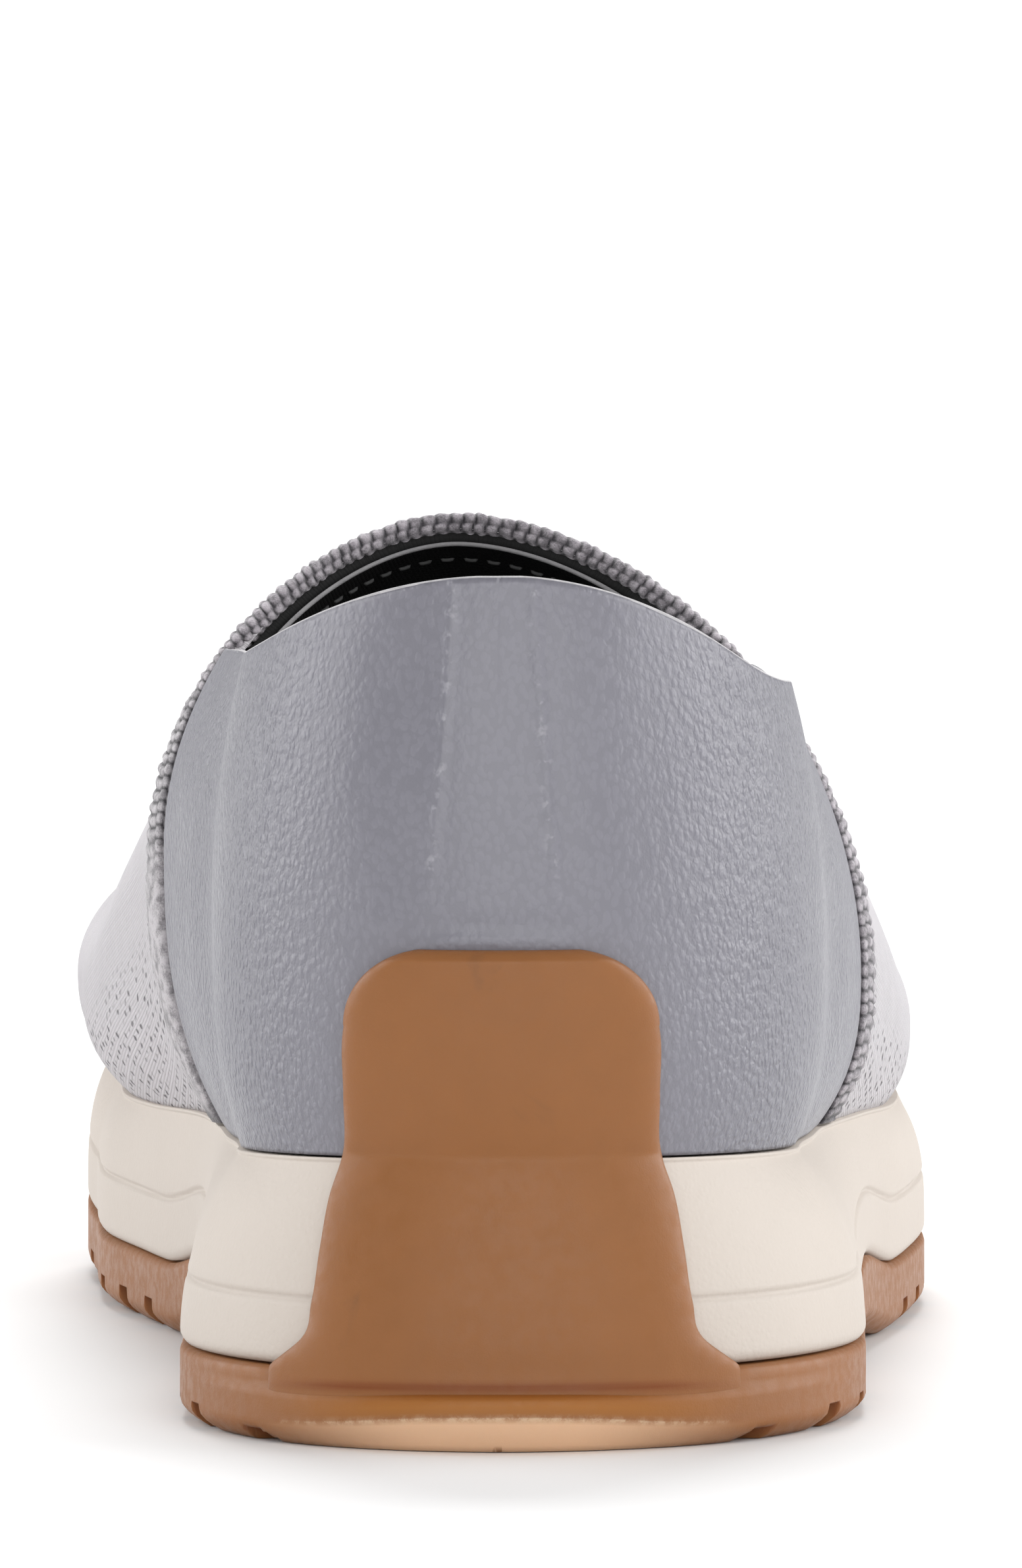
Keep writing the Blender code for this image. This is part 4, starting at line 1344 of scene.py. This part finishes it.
@dataclass
class Outsole:
    """Gum outsole: lugs cut by grooves across, a bevelled edge, a heel lip and the heel wrap."""

    bevel: float = 0.0022
    bevel_power: float = 1.8
    heel_fade: tuple = (0.12, 0.55)
    top_round: float = 0.0005
    top_round_from: float = 0.0074
    top_round_height: float = 0.0008
    top_in_from: float = 0.0060
    top_in_share: float = 0.25
    chamfer: float = 0.0027
    chamfer_in: float = 0.0030
    lip_top: float = 0.0046
    lip_in: float = 0.0022
    lip_fall: float = 0.0024
    lip_power: float = 1.15
    amber_from: float = 0.0040
    deep_middle: float = 0.0066
    shade_width: float = 0.0013
    glint_width: float = 0.00018
    groove_deep: float = 0.7
    lip_reach: float = 0.66
    lip_bow: float = 0.0024
    crease_low: float = 0.0059
    crease_bow: float = 0.0012
    crease_reach: float = 0.028
    wall_width: float = 0.0002
    wrap_thickness: float = 0.0019
    wrap_width: float = 0.0335
    wrap_sunk: float = 0.0006
    wrap_edge_power: float = 14
    wrap_top_round: float = 0.035
    shade_line: float = 0.0005
    shade_fade: float = 0.016
    corner_start: float = 1.45
    corner_reach: float = 0.268
    flat_share: float = 0.43
    quarter_wall: float = 0.0014
    rows: int = 620
    end_reach: float = 0.43
    least_step: float = 0.0004
    across_steps: int = 26
    wrap_rows: int = 150
    wrap_columns: int = 90

    def groove_places(self, row: Tread) -> np.ndarray:
        """Middles of one row's grooves along the shoe."""
        return np.arange(row.start * LAST.length, row.end * LAST.length, row.pitch)

    def grooves(self, y: np.ndarray) -> np.ndarray:
        """Depth of the grooves across at a place: flat floors with steep walls."""
        cut = np.zeros_like(y)
        for row in TREADS:
            for place in self.groove_places(row):
                wall = 1 - smoothstep(row.groove / 2 - self.wall_width, row.groove / 2 + self.wall_width,
                                      np.abs(y - place))
                cut = np.maximum(cut, wall * row.depth)
        return cut

    def plate(self, finishes: Finishes) -> None:
        """Make the plate as closed loops across the shoe: bottom, side, top and other side.

        At the back its side bulges to a crescent lip: a flat chamfer below, and above it a round that
        falls in to the crease where the wrap begins.
        """
        y_even = np.linspace(0, 1, self.rows)
        dense = np.linspace(0, 3, 4000)
        y_dense = LAST.outline(Side.LATERAL, dense, "sole", 0.0, 0.0)[1] / LAST.length
        ends = np.concatenate([np.linspace(0, self.end_reach, 60), np.linspace(3 - self.end_reach, 3, 60)])
        sign = np.array([[-1, 1]])
        walls = [self.groove_places(row)[:, None] + row.groove / 2 * sign for row in TREADS]
        walls = np.concatenate([wall.ravel() for wall in walls])[:, None] + self.wall_width * sign
        u = np.interp(np.concatenate([y_even, walls.ravel() / LAST.length]), y_dense, dense)
        u = np.unique(np.concatenate([u.ravel(), ends]))
        u = u[np.append(np.diff(u) > self.least_step, True)]
        u[0] = 0.0
        u = u[:, None]
        heights = np.array([0.0, 0.0005, 0.0011, 0.0017, self.bevel, self.chamfer, 0.0029, 0.0035, 0.0043,
                            0.0050, 0.0056, 0.0062, 0.0068, 0.0074, 0.0078, LAST.outsole_thickness])[None, :]
        bow = np.clip(1 - (np.sin(np.clip(u, 0, 1) * math.pi / 2) / self.lip_reach) ** 2, 0, 1) ** 0.5
        plain = self.bevel * np.clip(1 - heights / self.bevel, 0, 1) ** self.bevel_power
        near_top = np.clip((heights - self.top_round_from) / self.top_round_height, 0, 1)
        plain = plain + self.top_round * near_top**2
        lip = self.chamfer_in * np.clip(1 - heights / self.chamfer, 0, 1) ** self.lip_power
        lip = lip + self.lip_in * np.clip((heights - self.lip_top) / self.lip_fall, 0, None) ** 2
        back = 1 - smoothstep(*self.heel_fade, u)
        inset = plain * (1 - back) + lip * back
        top_in = np.where(heights > self.top_in_from, LAST.heel_inset_midsole * self.top_in_share, 0.0)
        sides, marks = [], []
        for side in Side:
            x, y = LAST.outline(side, u, "sole", top_in, 0.0, -inset)
            bent = np.interp(heights, [0.0, self.chamfer, LAST.outsole_thickness], [0.0, 1.0, 0.0])
            risen = heights + bent * self.lip_bow * (bow - 0.5) * back
            z = LAST.underside(y) + np.maximum(risen, self.grooves(y))
            sides.append(np.stack([x, y, z], axis=-1))
        # Painted shade along the crease above the lip.
        deep = back * np.exp(-((heights - self.deep_middle) / self.shade_width) ** 2)
        amber = back * smoothstep(self.chamfer, self.amber_from, heights)
        # Chamfer painted pale as reflection of the bright floor below it.
        pale = back * smoothstep(self.chamfer + 0.0001, self.chamfer - 0.0003, heights)
        glint = bow * np.exp(-((heights - self.chamfer) / self.glint_width) ** 2) * (back > 0.15)
        points = close_across(sides[0], sides[1][:, ::-1], self.across_steps)
        blank = np.zeros((len(u), self.across_steps))
        marks = {name: np.concatenate([mark, blank, mark[:, ::-1], blank], axis=1)
                 for name, mark in (("deep", deep), ("amber", amber), ("pale", pale), ("glint", glint))}
        # Painted shade on the floors of the grooves.
        floor = self.grooves(points[..., 1])
        in_groove = (floor > 0.0005) * (points[..., 2] < LAST.underside(points[..., 1]) + floor + 0.0001)
        marks["deep"] = np.maximum(marks["deep"], self.groove_deep * in_groove)
        piece = Piece("gum_outsole", "gum_rubber", ("outsole",))
        piece.add(points, wrap=True, **marks).build(finishes.gum, SOFT_WELD)

    def back_at(self, z: np.ndarray) -> tuple[np.ndarray, np.ndarray]:
        """Half width and reach back of the shoe's back: midsole below, leather above the heel stack."""
        top = LAST.outsole_thickness + LAST.gap
        leather = LAST.gap + self.quarter_wall
        first = WIDTHS[0]
        base = LAST.upper_ball * (first.base_medial + first.base_lateral) / 2
        wide = LAST.upper_ball * (first.wide_medial + first.wide_lateral) / 2
        sole = LAST.sole_ball * (first.sole_medial + first.sole_lateral) / 2
        level = np.clip((z - top) / (LAST.heel_stack - top), 0, 1) ** 2
        reach = LAST.heel_pole
        low_half = sole + (base + leather - sole) * level
        step_in = LAST.heel_inset_midsole - LAST.heel_inset_feather + leather
        low_back = reach - LAST.heel_inset_midsole + step_in * level
        wide_z = HEIGHTS[0].wide_medial * LAST.throat_height
        pull = np.clip(1 - (z - LAST.heel_stack) / (wide_z - LAST.heel_stack), 0, 1) ** LAST.low_curve
        high_half = wide + (base - wide) * pull + leather
        step_in = LAST.heel_inset_wide - LAST.heel_inset_feather
        high_back = reach - LAST.heel_inset_wide + step_in * pull + leather
        joint = smoothstep(LAST.heel_stack - 0.0012, LAST.heel_stack + 0.0012, z)
        return low_half * (1 - joint) + high_half * joint, low_back * (1 - joint) + high_back * joint

    def arc(self, half: np.ndarray, back: np.ndarray, turn: np.ndarray, z: np.ndarray) -> np.ndarray:
        """Points of level arcs round the heel, by half width, reach back, angle and height."""
        x = LAST.heel_back_x * np.cos(turn) + half * np.sin(turn)
        y = LAST.heel_pole - back * np.cos(turn)
        return np.stack([x, y, np.broadcast_to(z[:, None], x.shape)], axis=-1)

    def wrap(self, finishes: Finishes) -> None:
        """Make the heel wrap: rows up the back, each an arc out over the face and back underneath.

        The face stands the wrap's thickness off the shoe, with rounded edges at its sides and top, and
        sweeps out to the lip at its foot.
        """
        v = np.linspace(0, 1, self.wrap_rows)
        share = WRAPS[0].height + (WRAPS[-1].height - WRAPS[0].height) * (1 - (1 - v) ** 1.25)
        z = share * LAST.heel_stack
        corner = np.sqrt(np.clip(1 - ((share - self.corner_start) / self.corner_reach) ** 2, 0, 1))
        rounded_width = self.flat_share + (1 - self.flat_share) * corner
        plain_width = through(WRAPS, "width", share)
        width = np.where(share > self.corner_start, rounded_width, plain_width) * self.wrap_width
        sweep = np.clip(through(WRAPS, "sweep", share), 0, 1)[:, None]
        half, back = self.back_at(z)
        edge = np.linspace(-1, 1, self.wrap_columns)[None, :]
        edge = np.sign(edge) * (1 - (1 - np.abs(edge)) ** 1.5)
        limit = np.arcsin(np.clip(width / 2 / half, 0, 0.95))[:, None]
        turn = edge * limit
        rounded = (1 - np.abs(edge) ** self.wrap_edge_power) ** 0.5
        top_edge = np.clip((WRAPS[-1].height - share) / self.wrap_top_round, 0, 1)[:, None] ** 0.5
        middle = 1 - smoothstep(0.25, 0.95, np.abs(edge))
        sweep = sweep * (1 - 0.62 * middle * (1 - smoothstep(0.0085, 0.0125, z))[:, None])
        sole_half = LAST.sole_ball * (WIDTHS[0].sole_medial + WIDTHS[0].sole_lateral) / 2
        thick = LAST.gap + self.wrap_thickness * rounded * top_edge
        out_half = (half[:, None] + thick) * (1 - sweep) + (sole_half - LAST.gap) * sweep
        out_back = (back[:, None] + thick) * (1 - sweep) + (LAST.heel_pole - LAST.gap) * sweep
        outer = self.arc(out_half, out_back, turn, z)
        inner = self.arc(half[:, None] - self.wrap_sunk, back[:, None] - self.wrap_sunk, turn, z)[:, ::-1]
        points = np.concatenate([outer, inner], axis=1)
        low, high = points[:1].mean(axis=1, keepdims=True), points[-1:].mean(axis=1, keepdims=True)
        points = np.concatenate([np.repeat(low, points.shape[1], 1), points,
                                 np.repeat(high, points.shape[1], 1)], axis=0)
        # Painted shade: a dark line along the crease where the wrap meets the lip.
        off_middle = np.abs(points[..., 0] - LAST.heel_back_x)
        arc = np.clip(1 - (off_middle / self.crease_reach) ** 2, 0, 1) ** 0.5
        crease = self.crease_low + self.crease_bow * arc
        fade = 1 - smoothstep(self.shade_fade, self.crease_reach, off_middle)
        deep = 0.9 * np.exp(-((points[..., 2] - crease) / self.shade_line) ** 2) * fade
        piece = Piece("heel_wrap", "gum_rubber", ("outsole",))
        piece.add(points, wrap=True, deep=deep).build(finishes.gum, SOFT_WELD)

    def build(self, finishes: Finishes) -> None:
        """Make the plate and the wrap."""
        self.plate(finishes)
        self.wrap(finishes)


@dataclass
class Footbed:
    """Insole inside the upper's wall, dished at the heel."""

    thickness: float = 0.0035
    wall: float = 0.0022
    dish: float = 0.0012
    rows: int = 160
    across_steps: int = 30

    def build(self, finishes: Finishes) -> None:
        """Make the insole as closed loops across the shoe."""
        u = np.linspace(0, 3, self.rows)[:, None]
        inset = -self.wall - LAST.gap
        levels = np.array([0.0, 0.2, 0.8, 1.0])[None, :]
        round_in = np.array([0.0, 0.0, 0.0, 0.0007])[None, :]
        sides = []
        for side in Side:
            x, y = LAST.outline(side, u, "base", LAST.heel_inset_feather, LAST.toe_inset_feather,
                                inset - round_in)
            sides.append(np.stack([x, y, LAST.feather(y) + LAST.gap + self.thickness * levels], axis=-1))
        points = close_across(sides[0], sides[1][:, ::-1], self.across_steps, self.dish)
        piece = Piece("footbed", "lining", ("insole",))
        piece.add(points, points[..., :2], wrap=True).build(finishes.lining, SOFT_WELD)


@dataclass
class Studio:
    """Pale floor, soft white light and the photo's long-lens camera low behind the heel."""

    image_width: int = 1552
    image_height: int = 2380
    focal_pixels: float = 22720.0
    distance: float = 1.6
    camera_height: float = 0.17
    heel_pixel_x: float = 792.0
    horizon_pixel_y: float = -199.0
    world_strength: float = 0.36
    floor_colour: tuple = (0.78, 0.78, 0.78, 1.0)
    floor_radius: float = 60.0
    floor_sides: int = 96

    def camera(self) -> None:
        """Place the camera from the photo's own measures of the heel and the horizon."""
        lens = bpy.data.cameras.new("camera")
        lens.sensor_fit = "HORIZONTAL"
        lens.sensor_width = 36.0
        lens.lens = 36.0 * self.focal_pixels / self.image_width
        lens.clip_end = 100.0
        made = bpy.data.objects.new("camera", lens)
        made.location = (SHIFT_X, SHIFT_Y - self.distance, self.camera_height)
        pitch = math.atan((self.image_height / 2 - self.horizon_pixel_y) / self.focal_pixels)
        yaw = math.atan((self.heel_pixel_x - self.image_width / 2) / self.focal_pixels)
        made.rotation_euler = (math.pi / 2 - pitch, 0.0, yaw)
        bpy.context.collection.objects.link(made)
        bpy.context.scene.camera = made

    def light(self, name: str, source: tuple, spread: float, strength: float) -> None:
        """Soft light of even strength, that comes from a direction and spreads over an angle in degrees."""
        lamp = bpy.data.lights.new(name, "SUN")
        lamp.angle = math.radians(spread)
        lamp.energy = strength
        made = bpy.data.objects.new(name, lamp)
        made.rotation_euler = Vector(source).to_track_quat("Z", "Y").to_euler()
        bpy.context.collection.objects.link(made)

    def build(self) -> None:
        """Make the floor, the light and the camera."""
        world = bpy.data.worlds.new("studio")
        world.use_nodes = True
        background = world.node_tree.nodes["Background"]
        background.inputs[0].default_value = (1.0, 1.0, 1.0, 1.0)
        background.inputs[1].default_value = self.world_strength
        bpy.context.scene.world = world
        turn = np.linspace(0, 2 * math.pi, self.floor_sides, endpoint=False)
        mesh = bpy.data.meshes.new("floor")
        rim = [(self.floor_radius * math.cos(a), self.floor_radius * math.sin(a), -0.0001) for a in turn]
        mesh.from_pydata(rim, [], [list(range(self.floor_sides))])
        cover = Material("floor", 0.9)
        cover.dress({"Base Color": self.floor_colour})
        mesh.materials.append(cover.made)
        floor = bpy.data.objects.new("floor", mesh)
        bpy.context.collection.objects.link(floor)
        self.light("left", (-1.0, 0.30, 0.34), 66, 2.4)
        self.light("right", (1.0, 0.25, 0.34), 66, 2.9)
        self.light("back_top", (0.0, 0.85, 1.0), 26, 2.3)
        self.light("front", (0.12, -1.0, 0.16), 70, 2.2)
        bpy.context.scene.view_settings.view_transform = "Standard"
        self.camera()


def main() -> None:
    """Build the studio and every part of the shoe."""
    Studio().build()
    finishes = Finishes()
    for part in (Outsole(), Midsole(), Footbed(), Vamp(), Quarter(), CollarBand()):
        part.build(finishes)
        LOG.info("made %s", type(part).__name__)


if __name__ == "__main__":
    logging.basicConfig(level=logging.INFO)
    main()
